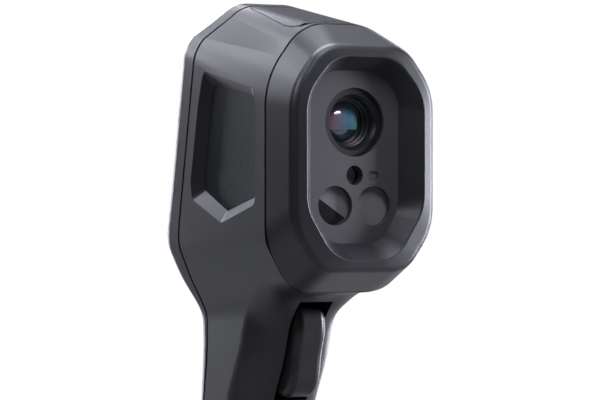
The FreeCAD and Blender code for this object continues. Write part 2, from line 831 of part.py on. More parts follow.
SHUTTER_FRONT = BARREL_REAR + 0.2
SHUTTER_THICK = 3.2
CORE_FRONT = SHUTTER_FRONT + SHUTTER_THICK


def make_shutter():
    lens_up = size("lens_up")
    blade_half = 6.2
    travel = 12.6
    middle = SHUTTER_FRONT + SHUTTER_THICK / 2
    low, high = lens_up - 8.0, lens_up + travel + blade_half + 1.7
    shape = block((-9.5, 9.5), (SHUTTER_FRONT, CORE_FRONT), (low, high))
    chamber = block((-blade_half - 0.3, blade_half + 0.3), (middle - 0.55, middle + 0.55),
                    (lens_up - blade_half - 0.4, lens_up + travel + blade_half + 0.6))
    shape = shape.cut(chamber)
    shape = shape.cut(disc(0, lens_up, SHUTTER_FRONT - 1, CORE_FRONT + 1, 5.4))
    feature("shutter_housing", shape)
    slab("shutter_blade", 2 * blade_half, 2 * blade_half, 0.4,
         facing_front(0, lens_up + travel, middle + 0.2))


def make_core():
    lens_up = size("lens_up")
    core = Body("thermal_core")
    base = core.sketch()
    draw_rectangle(base, 17.0, 17.0)
    core.pad(base, 7.0)
    pit = core.sketch(lift=6.2)
    draw_circle(pit, 5.2)
    core.pocket(pit, 2.0)
    core.keep(facing_front(0, lens_up, CORE_FRONT + 7.0))
    slab("core_board", 24.0, 26.0, 1.2, facing_front(0, lens_up, CORE_FRONT + 8.2))


def make_front_windows():
    radius = size("window_radius") + 0.6
    for name, side in (("camera_window", -1), ("worklight_window", 1)):
        place = facing_front(side * size("window_side"), -size("window_down"), PANEL_BACK)
        turned(name, [(0, 0), (radius, 0), (radius, 0.85), (0, 0.85)], place)
    laser = facing_front(0, -size("laser_down"), BRACKET_BACK + 0.8)
    turned("laser_window", [(0, 0), (3.9, 0), (3.9, 0.75), (0, 0.75)], laser)


BOARD_FRONT = 22.4
BOARD_THICK = 1.6


def make_visual_camera():
    camera = Body("visual_camera")
    base = camera.sketch()
    draw_rectangle(base, 8.6, 8.6)
    camera.pad(base, 4.6)
    barrel = camera.sketch(lift=4.6)
    draw_circle(barrel, 3.6)
    camera.pad(barrel, 4.2)
    pupil = camera.sketch(lift=7.8)
    draw_circle(pupil, 1.6)
    camera.pocket(pupil, 2.0)
    camera.keep(facing_front(-size("window_side"), -size("window_down"), BOARD_FRONT))


def make_worklight():
    place = facing_front(size("window_side"), -size("window_down"), BOARD_FRONT)
    led = Body("worklight_led")
    base = led.sketch()
    draw_rectangle(base, 3.6, 3.6)
    led.pad(base, 0.9)
    dome = led.sketch(lift=0.9)
    draw_circle(dome, 1.4)
    led.pad(dome, 0.7)
    led.keep(place)
    points = [(2.9, 0), (3.6, 0), (7.1, 9.0), (6.4, 9.0)]
    turned("worklight_reflector", points, place)


def make_laser_module():
    points = [(0, 0), (3.2, 0), (3.2, 12.0), (3.9, 12.0), (3.9, 14.2), (1.2, 14.2), (0.8, 13.2), (0, 13.2)]
    place = facing_front(0, -size("laser_down"), BRACKET_BACK + 0.85 + 14.2)
    turned("laser_module", points, place)


SENSOR_SCREWS = [(x, z) for x in (-20.6, 20.6) for z in (-21.0, 20.0)]


def make_sensor_board():
    shape = octagon_block(BOARD_FRONT, BOARD_FRONT + BOARD_THICK, 22.6, 31.5, 8.0, 12.0, 2.0)
    shape = shape.cut(disc(0, size("lens_up"), BOARD_FRONT - 1, BOARD_FRONT + 3, 10.6))
    shape = shape.cut(disc(0, -size("laser_down"), BOARD_FRONT - 1, BOARD_FRONT + 3, 3.6))
    for x, z in SENSOR_SCREWS:
        shape = shape.cut(disc(x, z, BOARD_FRONT - 1, BOARD_FRONT + 3, 1.15))
    for x, z in ((-15.0, -6.0), (14.0, -5.5), (0.5, -25.5)):
        chip = block((x - 3, x + 3), (BOARD_FRONT + BOARD_THICK, BOARD_FRONT + 2.6), (z - 2.6, z + 2.6))
        shape = shape.fuse(chip)
    feature("sensor_board", shape)


# ---------------------------------------------------------------- main housing

INLAY_OUTLINE = [(61, 33), (25, 27), (22, 17), (22, -12), (24, -18), (48, -24), (69, -14.5),
                 (70, -8), (65, 19)]
INLAY_BEVEL = 5.4


def shrunk_outline(points, inset):
    """Outline moved inward by a fixed distance, corner by corner."""
    moved = []
    count = len(points)
    area = sum(points[i - 1][0] * points[i][1] - points[i][0] * points[i - 1][1] for i in range(count))
    turn = 1 if area > 0 else -1
    for i in range(count):
        ax, ay = points[i - 1]
        bx, by = points[i]
        cx, cy = points[(i + 1) % count]
        ux, uy = unit(bx - ax, by - ay)
        vx, vy = unit(cx - bx, cy - by)
        nx, ny = -uy * turn, ux * turn
        mx, my = -vy * turn, vx * turn
        sx, sy = nx + mx, ny + my
        scale = 2 * inset / (sx * sx + sy * sy)
        moved.append((bx + sx * scale, by + sy * scale))
    return moved


def unit(x, y):
    length = math.hypot(x, y)
    return x / length, y / length


def side_wire(points, side, radius):
    return rounded_polygon([(at(side, back, up), radius) for back, up in points])


def side_pocket(sign):
    """Tapered pocket with a seat for the inlay, on one flank."""
    inner = shrunk_outline(INLAY_OUTLINE, INLAY_BEVEL)
    outer = shrunk_outline(INLAY_OUTLINE, -0.9)
    floor = sign * 28.4
    taper = Part.makeLoft([side_wire(outer, sign * 32.3, 3.0), side_wire(inner, floor, 1.6)], True, True)
    seat = Part.Face(side_wire(inner, sign * 27.2, 1.6)).extrude(Vector(sign * 1.3, 0, 0))
    return taper.fuse(seat)


def side_backing(sign):
    """Wall behind the flank pocket."""
    points = shrunk_outline(INLAY_OUTLINE, 1.4)
    face = Part.Face(side_wire(points, sign * 25.4, 2.0))
    return face.extrude(Vector(sign * 6.0, 0, 0))


def make_side_inlays():
    inner = shrunk_outline(INLAY_OUTLINE, INLAY_BEVEL + 0.1)
    for name, sign in (("side_inlay_left", -1), ("side_inlay_right", 1)):
        face = Part.Face(side_wire(inner, sign * 27.25, 1.5))
        feature(name, face.extrude(Vector(sign * 1.05, 0, 0)))


# trigger bay
BAY_TOP = -50.6
BAY_FOOT = -86.6
BAY_HALF = size("trigger_width") / 2 + size("trigger_gap")
BAY_BACK_TOP = 54.6
BAY_BACK_FOOT = 62.4
BAY_WALL = 1.6
PIVOT = (48.0, -55.4)


def bay_points(growth):
    return [(20, BAY_TOP + growth), (BAY_BACK_TOP + growth, BAY_TOP + growth),
            (BAY_BACK_FOOT + growth, BAY_FOOT - growth), (20, BAY_FOOT - growth)]


def trigger_bay_block():
    """Walls around the trigger bay, kept inside the skin."""
    points = bay_points(BAY_WALL)
    points[0] = (24, BAY_TOP + BAY_WALL)
    points[3] = (24, BAY_FOOT - BAY_WALL)
    return side_prism(points, -BAY_HALF - BAY_WALL, BAY_HALF + BAY_WALL).common(SKIN)


def trigger_bay_pocket():
    return side_prism(bay_points(0.0), -BAY_HALF, BAY_HALF)


# port bay on the sloping top
TOP_RISE = (62.0 - 47.4) / 80.0
COVER_FRONT = 21.6
COVER_REAR = 61.6
COVER_FRONT_HALF = 16.4
COVER_REAR_HALF = 11.2
COVER_SWEEP = 4.6
TRAY_DEPTH = 13.0


def top_up(back):
    """Height of the head's top at a distance back."""
    return 47.4 + TOP_RISE * (back - 18.0)


def cover_prism(growth, front_growth, low, high, radius=2.4):
    """Upright prism with the port cover's plan outline."""
    front = COVER_FRONT - front_growth
    rear = COVER_REAR + growth
    spots = [
        (-COVER_FRONT_HALF - growth, front, radius + COVER_SWEEP),
        (COVER_FRONT_HALF + growth, front, radius + COVER_SWEEP),
        (COVER_REAR_HALF + growth, rear, radius),
        (-COVER_REAR_HALF - growth, rear, radius),
    ]
    wire = rounded_polygon([(at(x, back, low), corner) for x, back, corner in spots])
    return Part.Face(wire).extrude(Vector(0, 0, high - low))


def port_tray():
    """Walls and sloping floor of the bay under the port cover."""
    outer = cover_prism(0.4, 1.6, 20, 80)
    floor = [(10, top_up(10) - TRAY_DEPTH - 1.5), (75, top_up(75) - TRAY_DEPTH - 1.5), (75, 90), (10, 90)]
    return outer.common(side_prism(floor, -40, 40)).common(SKIN)


def port_tray_hollow():
    inner = cover_prism(-1.2, 0.0, 20, 90, radius=1.5).cut(hinge_lug(0.0))
    floor = [(10, top_up(10) - TRAY_DEPTH), (75, top_up(75) - TRAY_DEPTH), (75, 95), (10, 95)]
    return inner.common(side_prism(floor, -40, 40))


def port_cover_opening():
    """Cut for the cover itself, down to the ledge it rests on."""
    opening = cover_prism(0.35, 0.7, 20, 95).cut(hinge_lug(0.0))
    ledge = [(10, top_up(10) - size("cover_thick") - 0.25), (75, top_up(75) - size("cover_thick") - 0.25),
             (75, 99), (10, 99)]
    return opening.common(side_prism(ledge, -40, 40))


COVER_PIN_RADIUS = 0.6
COVER_NOTCH = 2.3
LUG_HALF = 2.4
COVER_AXIS = (COVER_FRONT + 1.2, top_up(COVER_FRONT + 1.2) - 1.2)


def cover_hinge_relief():
    """Room for the cover's front edge to turn."""
    back, up = COVER_AXIS
    length = 2 * (COVER_FRONT_HALF - 2.4)
    bar = Part.makeCylinder(2.2, length, at(-length / 2, back, up), Vector(1, 0, 0))
    front = block((-60, 60), (back - 1.9, back + 10), (0, 90))
    return bar.common(front).cut(hinge_lug(0.0))


def hinge_lug(growth):
    """Lug of the housing that holds the middle of the cover's pin."""
    back, up = COVER_AXIS
    half = LUG_HALF + growth
    lug = block((-half, half), (back - 6, back + 1.5 + growth), (up - 8, up + 4))
    return lug.common(SKIN)


CASE_SCREWS = [(-25.7, 20.0), (25.7, 20.0), (-11.6, -146.0), (11.6, -146.0)]


def case_bosses(front_length):
    """Screw posts that meet across the rear seam."""
    posts = []
    for x, up in CASE_SCREWS:
        seam_back = seam_at(up)
        posts.append(disc(x, up, seam_back - front_length, seam_back + 14, 3.0))
        rib_low, rib_high = (x, x + 6) if x > 0 else (x - 6, x)
        reach = (seam_back - front_length, seam_back + 14)
        posts.append(block((rib_low, rib_high), reach, (up - 1.0, up + 1.0)))
    return posts


def seam_at(up):
    if up > -30:
        return size("rear_seam_at_centre") - size("rear_slope") * up
    return 86.3


def make_main_housing():
    shell = SKIN.cut(FRONT_LIMIT)
    shell = shell.common(block((-60, 60), (HOUSING_FRONT, 120), (-170, 90)))
    hollow = CAVITY.common(block((-60, 60), (HOUSING_FRONT + WALL, 120), (-170, 90)))
    added = [side_backing(-1), side_backing(1), trigger_bay_block(), port_tray()]
    added.append(base_block())
    added.append(disc_up(0, 74.0, -HEAD_UP, 12.0, 6.6))
    added += case_bosses(9.0)
    inner = hollow
    for piece in added:
        inner = inner.cut(piece)
    shell = shell.cut(inner)
    shell = shell.cut(octagon_block(10, 22, 19.4, 30.6, 8.0, 11.0, 4.0))
    for sign in (-1, 1):
        shell = shell.cut(side_pocket(sign))
    shell = shell.cut(trigger_bay_pocket())
    shell = shell.cut(Part.makeCylinder(size("pin_radius"), 2 * (BAY_HALF + BAY_WALL) - 0.6,
                                        at(-BAY_HALF - BAY_WALL + 0.3, *PIVOT), Vector(1, 0, 0)))
    shell = shell.cut(block((-3.6, 3.6), (50, 70), (-79.4, -72.6)))
    shell = shell.cut(port_tray_hollow())
    shell = shell.cut(port_cover_opening())
    shell = shell.cut(cover_hinge_relief())
    back, up = COVER_AXIS
    shell = shell.cut(Part.makeCylinder(0.6, 8.0, at(-4.0, back, up), Vector(1, 0, 0)))
    shell = shell.cut(disc_up(0, 74.0, -HEAD_UP - 1, 11.5, 5.0))
    shell = shell.cut(lanyard_notch())
    for x, z in SENSOR_SCREWS:
        shell = shell.cut(disc(x, z, HOUSING_FRONT + 0.5, HOUSING_FRONT + 4, 0.9))
    for x, z in CASE_SCREWS:
        shell = shell.cut(disc(x, z, seam_at(z) - 8.0, seam_at(z) + 5, 1.25))
    feature("main_housing", solid_only(shell))


def solid_only(shape):
    """Largest solid of a boolean result."""
    return max(shape.Solids, key=lambda solid: solid.Volume)


def disc_up(side, back, up, length, radius):
    return Part.makeCylinder(radius, length, at(side, back, up), Vector(0, 0, 1))


def base_block():
    """Thick corner that carries the lanyard bar."""
    return block((-7.5, 7.5), (50, 65.4), (-HEAD_UP, -HEAD_UP + 10.0)).common(SKIN)


LANYARD = (60.6, -HEAD_UP + 3.2)


def lanyard_notch():
    back, up = LANYARD
    notch = block((-4.5, 4.5), (50, back + 3.6), (-HEAD_UP - 2, up + 3.6))
    hole = Part.makeCylinder(1.2, 13.0, at(-6.5, back, up), Vector(1, 0, 0))
    return notch.fuse(hole)


def make_rear_shell():
    shell = SKIN.common(REAR_OF_SEAM)
    inner = CAVITY
    for piece in case_bosses(0.0) + board_posts():
        inner = inner.cut(piece)
    shell = shell.cut(inner)
    shell = shell.cut(display_opening(19.6, 25.2, 8.0))
    shell = shell.cut(display_opening(22.2, 28.4, WINDOW_SEAT))
    gap = size("key_gap")
    for _, x, along, kind, half, tall in KEYS:
        shell = shell.cut(key_prism(x, along, kind, half + gap, tall + gap, KEY_HOLE_OUT, KEY_HOLE_FOOT))
        wide = half + FLANGE_RIM + gap
        high = tall + FLANGE_RIM + gap
        shell = shell.cut(key_prism(x, along, kind, wide, high, FLANGE_TOP - gap, KEY_HOLE_FOOT, 0.5))
    for x, along in MAIN_SCREWS:
        pilot = Part.makeCylinder(0.9, 3.4)
        pilot.Placement = facing_rear(x, along, BOARD_TOP + 0.1)
        shell = shell.cut(pilot)
    for x, z in CASE_SCREWS:
        shell = shell.cut(disc(x, z, seam_at(z) - 1, 120, 1.45))
        head_seat = screw_seat(z)
        shell = shell.cut(disc(x, z, head_seat, 120, 2.7))
    feature("rear_shell", solid_only(shell))


def rear_prism(half_w, half_h, radius, depth, thickness):
    """Rounded plate in the display face's axes, its far side at a depth below the surface."""
    corners = [(-half_w, -half_h), (half_w, -half_h), (half_w, half_h), (-half_w, half_h)]
    wire = rounded_polygon([(Vector(x, y, 0), radius) for x, y in corners])
    solid = Part.Face(wire).extrude(Vector(0, 0, thickness))
    solid.Placement = facing_rear(0, size("display_up"), depth)
    return solid


def display_opening(half_w, half_h, depth):
    return rear_prism(half_w, half_h, 4.0, depth, depth + 3.0)


def board_posts():
    """Posts inside the rear shell that carry the main board."""
    posts = []
    for x, along in MAIN_SCREWS:
        post = Part.makeCylinder(2.3, BOARD_TOP - 1.0)
        post.Placement = facing_rear(x, along, BOARD_TOP)
        posts.append(post)
    return posts


def make_case_seal():
    seam_slab = FRONT_LIMIT.cut(REAR_OF_SEAM)
    ring = SEAL_OUTSIDE.cut(CAVITY).common(seam_slab)
    for x, z in CASE_SCREWS:
        ring = ring.cut(disc(x, z, 60, 120, 3.3))
    feature("case_seal", solid_only(ring))


# ---------------------------------------------------------------- trigger

def make_trigger():
    front = [(42.6, -52.2), (37.2, -54.4), (36.0, -60.0), (38.4, -69.5), (40.2, -78.0), (42.6, -82.8),
             (49.0, -85.2)]
    nose = smooth([at(0, b, u) for b, u in front])
    rear = [(54.6, -83.2), (50.8, -62.6), (51.4, -56.6), (48.6, -52.0)]
    edges = [nose]
    corners = [at(0, *front[-1])] + [at(0, b, u) for b, u in rear] + [at(0, *front[0])]
    for start, end in zip(corners, corners[1:]):
        edges.append(segment(start, end))
    half = size("trigger_width") / 2
    solid = Part.Face(Part.Wire(edges)).extrude(Vector(2 * half, 0, 0))
    solid.translate(Vector(-half, 0, 0))

    def is_nose_side(edge):
        x0, x1, y0, y1, z0, z1 = span(edge)
        return x1 - x0 < 0.1 and y1 < 50.5 and z1 - z0 > 15

    solid = round_edges(solid, 2.8, is_nose_side)
    bore = size("pin_radius") + size("pin_clearance")
    solid = solid.cut(Part.makeCylinder(bore, 30, at(-15, *PIVOT), Vector(1, 0, 0)))
    spring_room = block((-3.2, 3.2), (46.4, 60), (-70.6, -64.4))
    solid = solid.cut(spring_room)
    feature("trigger", solid)
    pin = cylinder("trigger_pin", "pin_radius", "trigger_width + trigger_gap * 2 + 2.4")
    length = size("trigger_width") + 2 * size("trigger_gap") + 2.4
    keep(pin, "trigger_pin", across(-length / 2, *PIVOT))


SPRING_UP = -67.5


def make_trigger_spring():
    """Compression spring between the bay's rear wall and the trigger."""
    start, end = 46.5, 58.1
    wire_radius = 0.3
    turns = 6
    helix = Part.makeHelix((end - start - 2 * wire_radius) / turns, end - start - 2 * wire_radius, 2.2)
    profile = Part.Wire(Part.makeCircle(wire_radius, Vector(2.2, 0, 0), Vector(0, 1, 0)))
    spring = Part.Wire(helix).makePipeShell([profile], True, True)
    spring.rotate(Vector(0, 0, 0), Vector(1, 0, 0), -90)
    along_back = Rotation(Vector(1, 0, 0), -90)
    feature("trigger_spring", spring, Placement(at(0, start + wire_radius, SPRING_UP), along_back))


def make_trigger_switch():
    switch = Body("trigger_switch")
    base = switch.sketch()
    draw_rectangle(base, 6.4, 6.0)
    switch.pad(base, 4.0)
    plunger = switch.sketch(lift=4.0)
    draw_circle(plunger, 1.4)
    switch.pad(plunger, 4.1)
    switch.keep(facing_front(0, -76.0, 63.4))


# ---------------------------------------------------------------- port cover and ports

def make_port_cover():
    thick = size("cover_thick")
    under = [(10, top_up(10) - thick), (75, top_up(75) - thick), (75, 99), (10, 99)]
    shape = SKIN.common(cover_prism(0.0, 0.0, 20, 90)).common(side_prism(under, -40, 40))
    back, up = COVER_AXIS
    bore = COVER_PIN_RADIUS + size("pin_clearance")
    shape = shape.cut(Part.makeCylinder(bore, 60, at(-30, back, up), Vector(1, 0, 0)))
    notch = LUG_HALF + 0.3
    shape = shape.cut(block((-notch, notch), (COVER_FRONT - 2, back + COVER_NOTCH), (0, 90)))
    feature("port_cover", solid_only(shape))
    length = 20.0
    pin = cylinder("port_cover_pin", COVER_PIN_RADIUS, length)
    keep(pin, "port_cover_pin", across(-length / 2, back, up))


def sloped_place(side, back, lift):
    """Local +Z leaves the sloping tray floor, local +Y runs back along it."""
    lean = math.degrees(math.atan(TOP_RISE))
    return Placement(at(side, back, top_up(back) - TRAY_DEPTH + lift), Rotation(Vector(1, 0, 0), lean))


def make_ports():
    slab("port_board", 20.0, 26.0, 1.0, sloped_place(0, 44.0, 0.05))
    usb = Body("usb_port")
    outside = usb.sketch()
    draw_rectangle(outside, 9.0, 3.3)
    usb.pad(outside, 7.2)
    mouth = usb.sketch(lift=1.0)
    draw_rectangle(mouth, 8.3, 2.6)
    usb.pocket(mouth, 7.0)
    tongue = usb.sketch(lift=0.5)
    draw_rectangle(tongue, 6.6, 0.7)
    usb.pad(tongue, 5.8)
    usb.keep(sloped_place(0, 36.5, 1.1))
    slab("thermocouple_socket", 16.4, 9.0, 8.6, sloped_place(0, 48.5, 1.1),
         windows=((2.6, 1.1, -3.95, 0.4), (3.4, 1.1, 3.95, 0.4)))


# ---------------------------------------------------------------- rear controls

KEYPAD_UP = -28.4
KEY_STEP = 8.8

# name, side, along the rear face, outline, half width, half height
KEYS = [
    ("key_up", 0.0, KEYPAD_UP + KEY_STEP, "box", 6.4, 2.2),
    ("key_select", 0.0, KEYPAD_UP, "round", 4.5, 4.5),
    ("key_down", 0.0, KEYPAD_UP - KEY_STEP, "box", 6.4, 2.2),
    ("key_return", 14.4, KEYPAD_UP, "box", 4.6, 3.4),
    ("key_gallery", -14.4, KEYPAD_UP, "box", 4.6, 3.4),
]
KEY_PROUD = 1.1
KEY_HOLE_OUT = -4.0
KEY_HOLE_FOOT = 8.0
FLANGE_RIM = 0.8
KEY_CORNER = 1.3
KEY_EDGE = 0.5
WINDOW_SEAT = 1.35
FLANGE_TOP = 2.75
FLANGE_FOOT = 3.65
MAT_TOP = 4.45
BOARD_TOP = 6.2
BOARD_MAIN_THICK = 1.4
BOARD_MIDDLE = -2.5


def key_prism(side, along, kind, half, tall, out, depth, corner=1.5):
    """Key outline raised along the rear face's normal."""
    if kind == "round":
        solid = Part.makeCylinder(half, depth - out)
    else:
        corners = [(-half, -tall), (half, -tall), (half, tall), (-half, tall)]
        wire = rounded_polygon([(Vector(x, y, 0), corner) for x, y in corners])
        solid = Part.Face(wire).extrude(Vector(0, 0, depth - out))
    solid.Placement = facing_rear(side, along, depth)
    return solid


def make_keys():
    for name, side, along, kind, half, tall in KEYS:
        key = Body(name)
        flange = key.sketch()
        cap = key.sketch(lift=FLANGE_FOOT - FLANGE_TOP)
        if kind == "round":
            draw_circle(flange, half + FLANGE_RIM)
            draw_circle(cap, half)
        else:
            draw_rectangle(flange, 2 * (half + FLANGE_RIM), 2 * (tall + FLANGE_RIM))
            draw_rectangle(cap, 2 * half, 2 * tall)
        key.pad(flange, FLANGE_FOOT - FLANGE_TOP)
        key.pad(cap, FLANGE_TOP + KEY_PROUD)
        doc.recompute()
        round_key(key)
        key.keep(facing_rear(side, along, FLANGE_FOOT))


def round_key(key):
    """Round the cap's upright corners, then soften its top edge."""
    top = FLANGE_FOOT + KEY_PROUD

    def is_upright(b):
        straight = b.XMax - b.XMin < 0.01 and b.YMax - b.YMin < 0.01
        return straight and b.ZMax > top - 0.01 and b.ZMax - b.ZMin > 1

    def is_top(b):
        return b.ZMin > top - 0.01

    if key.name != "key_select":
        add_fillet(key, "corners", is_upright, KEY_CORNER)
    add_fillet(key, "top", is_top, KEY_EDGE)


def add_fillet(key, word, wanted, radius):
    last = key.body.Tip
    edges = last.Shape.Edges
    names = ["Edge%d" % (i + 1) for i, edge in enumerate(edges) if wanted(edge.BoundBox)]
    fillet = key.body.newObject("PartDesign::Fillet", "%s_%s" % (key.name, word))
    fillet.Base = (last, names)
    fillet.Radius = radius
    key.body.Tip = fillet
    doc.recompute()


def make_display():
    feature("display_window", rear_prism(22.05, 28.25, 3.85, WINDOW_SEAT, WINDOW_SEAT - 0.25))
    slab("display_gasket", "display_width", "display_height", 0.6,
         facing_rear(0, size("display_up"), 3.05), windows=((39.2, 50.6, 0, 0),))
    slab("display_module", "display_width", "display_height", 2.4, facing_rear(0, size("display_up"), 5.6))


EAR_SPOTS = (-28.5, 3.0)
MAIN_SCREWS = [(x, along) for x in (-24.4, 24.4) for along in EAR_SPOTS]


def make_main_board():
    board = Body("main_board")
    outline = board.sketch()
    draw_rectangle(outline, "pcb_half_width * 2", 80.0)
    board.pad(outline, BOARD_MAIN_THICK)
    ears = board.sketch()
    for along in EAR_SPOTS:
        draw_rectangle(ears, 54.0, 7.0, 0, along - BOARD_MIDDLE)
    board.pad(ears, BOARD_MAIN_THICK)
    holes = board.sketch()
    for x, along in MAIN_SCREWS:
        draw_circle(holes, 1.2, -x, along - BOARD_MIDDLE)
    board.pocket(holes, 4.0)
    chips = board.sketch()
    for x, y, w, tall in ((-6, 22, 14, 14), (10, 24, 8, 11), (4, -3, 10, 7), (-11, -2, 7, 7)):
        draw_rectangle(chips, w, tall, x, y)
    chip_pad = board.pad(chips, 1.2)
    chip_pad.Reversed = True
    board.keep(facing_rear(0, BOARD_MIDDLE, BOARD_TOP + BOARD_MAIN_THICK))


def make_keypad_mat():
    mat = Body("keypad_mat")
    sheet_outline = mat.sketch()
    draw_rectangle(sheet_outline, 39.0, 24.6)
    mat.pad(sheet_outline, 0.9)
    domes = mat.sketch(lift=0.9)
    for _, side, along, _, _, _ in KEYS:
        draw_circle(domes, 1.9, -side, along - KEYPAD_UP)
    mat.pad(domes, BOARD_TOP - MAT_TOP - 0.95)
    mat.keep(facing_rear(0, KEYPAD_UP, BOARD_TOP - 0.05))


# ---------------------------------------------------------------- battery and fittings

CELL_BACK = 76.0
LEAD_BEND = 6.0
CELL_FOOT = -HEAD_UP + 14.6


def make_battery():
    radius = size("cell_radius")
    length = size("cell_length")
    points = [(0, 0), ("cell_radius - 0.6", 0), ("cell_radius", 0.6), ("cell_radius", "cell_length - 2.0"),
              ("cell_radius - 0.8", "cell_length - 1.2"), (3.2, "cell_length - 1.2"), (3.2, "cell_length"),
              (0, "cell_length")]
    turned("battery_cell", points, upright(0, CELL_BACK, CELL_FOOT))
    foot = CELL_FOOT - 1.4
    tray = disc_up(0, CELL_BACK, foot, length + 2.8, radius + 1.5)
    tray = tray.cut(disc_up(0, CELL_BACK, foot + 0.8, length + 1.2, radius + 0.2))
    tray = tray.cut(block((-40, 40), (CELL_BACK + 3.0, CELL_BACK + 30), (foot - 1, foot + length + 5)))
    feature("battery_cradle", tray)
    plates = []
    for up in (foot + 0.85, CELL_FOOT + length + 0.1):
        plates.append(block((-4.5, 4.5), (CELL_BACK - 6, CELL_BACK + 2.6), (up, up + 0.35)))
    feature("battery_contacts", Part.makeCompound(plates))


def make_battery_lead():
    """Pair of wires from the cradle's top to the main board, straight runs joined by arcs."""
    wires = []
    for side in (-2.4, 2.4):
        start = at(side, 80.6, CELL_FOOT + size("cell_length") + 2.6)
        points = [start, start + Vector(0, 0, 11), at(side, 79.2, -46.0), at(side, 80.8, -38.5)]
        bends = [corner_arc(*points[i:i + 3], LEAD_BEND) for i in (0, 1)]
        path = [
            segment(points[0], bends[0][0]),
            Part.Arc(*bends[0]).toShape(),
            segment(bends[0][2], bends[1][0]),
            Part.Arc(*bends[1]).toShape(),
            segment(bends[1][2], points[3]),
        ]
        profile = Part.Wire(Part.makeCircle(0.6, points[0], Vector(0, 0, 1)))
        wires.append(Part.Wire(path).makePipeShell([profile], True, True))
    feature("battery_lead", Part.makeCompound(wires))


def make_sensor_ribbon():
    """Flat cable from the sensor board to the main board."""
    back_start = BOARD_FRONT + BOARD_THICK + 0.1
    outer = [(back_start, -22.0), (30.0, -22.0), (36.0, -30.0), (66.0, -33.0), (73.6, -26.0), (76.6, -12.0)]
    lower = [(b - 0.05, u - 0.25) for b, u in outer]
    strip = Part.makePolygon([at(-5, b, u) for b, u in outer + lower[::-1] + outer[:1]])
    feature("sensor_ribbon", Part.Face(strip).extrude(Vector(10, 0, 0)))


def make_fittings():
    insert = [("socket_radius", 0), (4.95, 0), (4.95, 10.4), (0, 10.4), (0, "socket_depth"),
              ("socket_radius", "socket_depth")]
    turned("tripod_insert", insert, upright(0, 74.0, -HEAD_UP))
    bar = cylinder("lanyard_bar", 1.2, 12.8)
    keep(bar, "lanyard_bar", across(-6.4, *LANYARD))


def screw_seat(up):
    """Back coordinate of the case screws' head seats."""
    return rear_line(up) - 2.6 if up > -30 else 89.3


def make_case_screws():
    solids = []
    for x, z in CASE_SCREWS:
        head_seat = screw_seat(z)
        screw = disc(x, z, seam_at(z) - 7.0, head_seat, 1.2)
        cap = disc(x, z, head_seat, head_seat + 1.5, 2.4)
        star = disc(x, z, head_seat + 0.7, head_seat + 2, 1.0)
        solids.append(screw.fuse(cap).cut(star).removeSplitter())
    feature("case_screws", Part.makeCompound(solids))


def make_main_screws():
    solids = []
    for x, along in MAIN_SCREWS:
        shank = Part.makeCylinder(0.85, 4.2)
        cap = Part.makeCylinder(1.9, 1.1, Vector(0, 0, -1.1))
        solid = shank.fuse(cap).removeSplitter()
        solid.Placement = facing_rear(x, along, BOARD_TOP + BOARD_MAIN_THICK)
        solids.append(solid)
    feature("main_board_screws", Part.makeCompound(solids))


def build():
    make_front_bezel()
    make_bezel_seal()
    make_lens_panel()
    make_light_pipe()
    make_optics_bracket()
    make_screws("bezel_screws", SCREW_SPOTS, PANEL_BACK - 4.5, BRACKET_BACK, 0.85, 1.9, 1.2)
    make_trim_ring()
    make_lens_barrel()
    make_front_lens()
    make_rear_lens()
    make_screws("lens_screws", LENS_SCREW_SPOTS, PANEL_BACK + 0.1, BRACKET_BACK + 1.8, 0.75, 1.5, 0.9)
    make_shutter()
    make_core()
    make_front_windows()
    make_visual_camera()
    make_worklight()
    make_laser_module()
    make_sensor_board()
    make_screws("sensor_board_screws", SENSOR_SCREWS, HOUSING_FRONT + 0.7,
                BOARD_FRONT + BOARD_THICK, 0.85, 1.9, 1.1)
    make_side_inlays()
    make_main_housing()
    make_rear_shell()
    make_case_seal()
    make_trigger()
    make_trigger_spring()
    make_trigger_switch()
    make_port_cover()
    make_ports()
    make_keys()
    make_display()
    make_main_board()
    make_keypad_mat()
    make_battery()
    make_battery_lead()
    make_sensor_ribbon()
    make_fittings()
    make_case_screws()
    make_main_screws()


def check_and_write():
    doc.recompute()
    for obj in doc.Objects:
        if "Invalid" in obj.State or "Error" in obj.State:
            raise RuntimeError("failed object: " + obj.Name)
    for obj in PARTS:
        if obj.Shape.isNull() or not obj.Shape.isValid():
            raise RuntimeError("bad shape: " + obj.Label)
    os.makedirs("parts", exist_ok=True)
    for obj in PARTS:
        obj.Shape.exportStep(os.path.join("parts", obj.Label + ".step"))
        print("%-22s %9.1f mm3  %d solid" % (obj.Label, obj.Shape.Volume, len(obj.Shape.Solids)))


build()
check_and_write()
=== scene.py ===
"""Looks of the handheld thermal imaging camera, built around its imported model.

Everything is in metres in the row's frame: the origin is the tripod socket's mouth, +Z runs up the
grip, the infrared lens looks along -Y and the display faces +Y.
"""
import json
import math

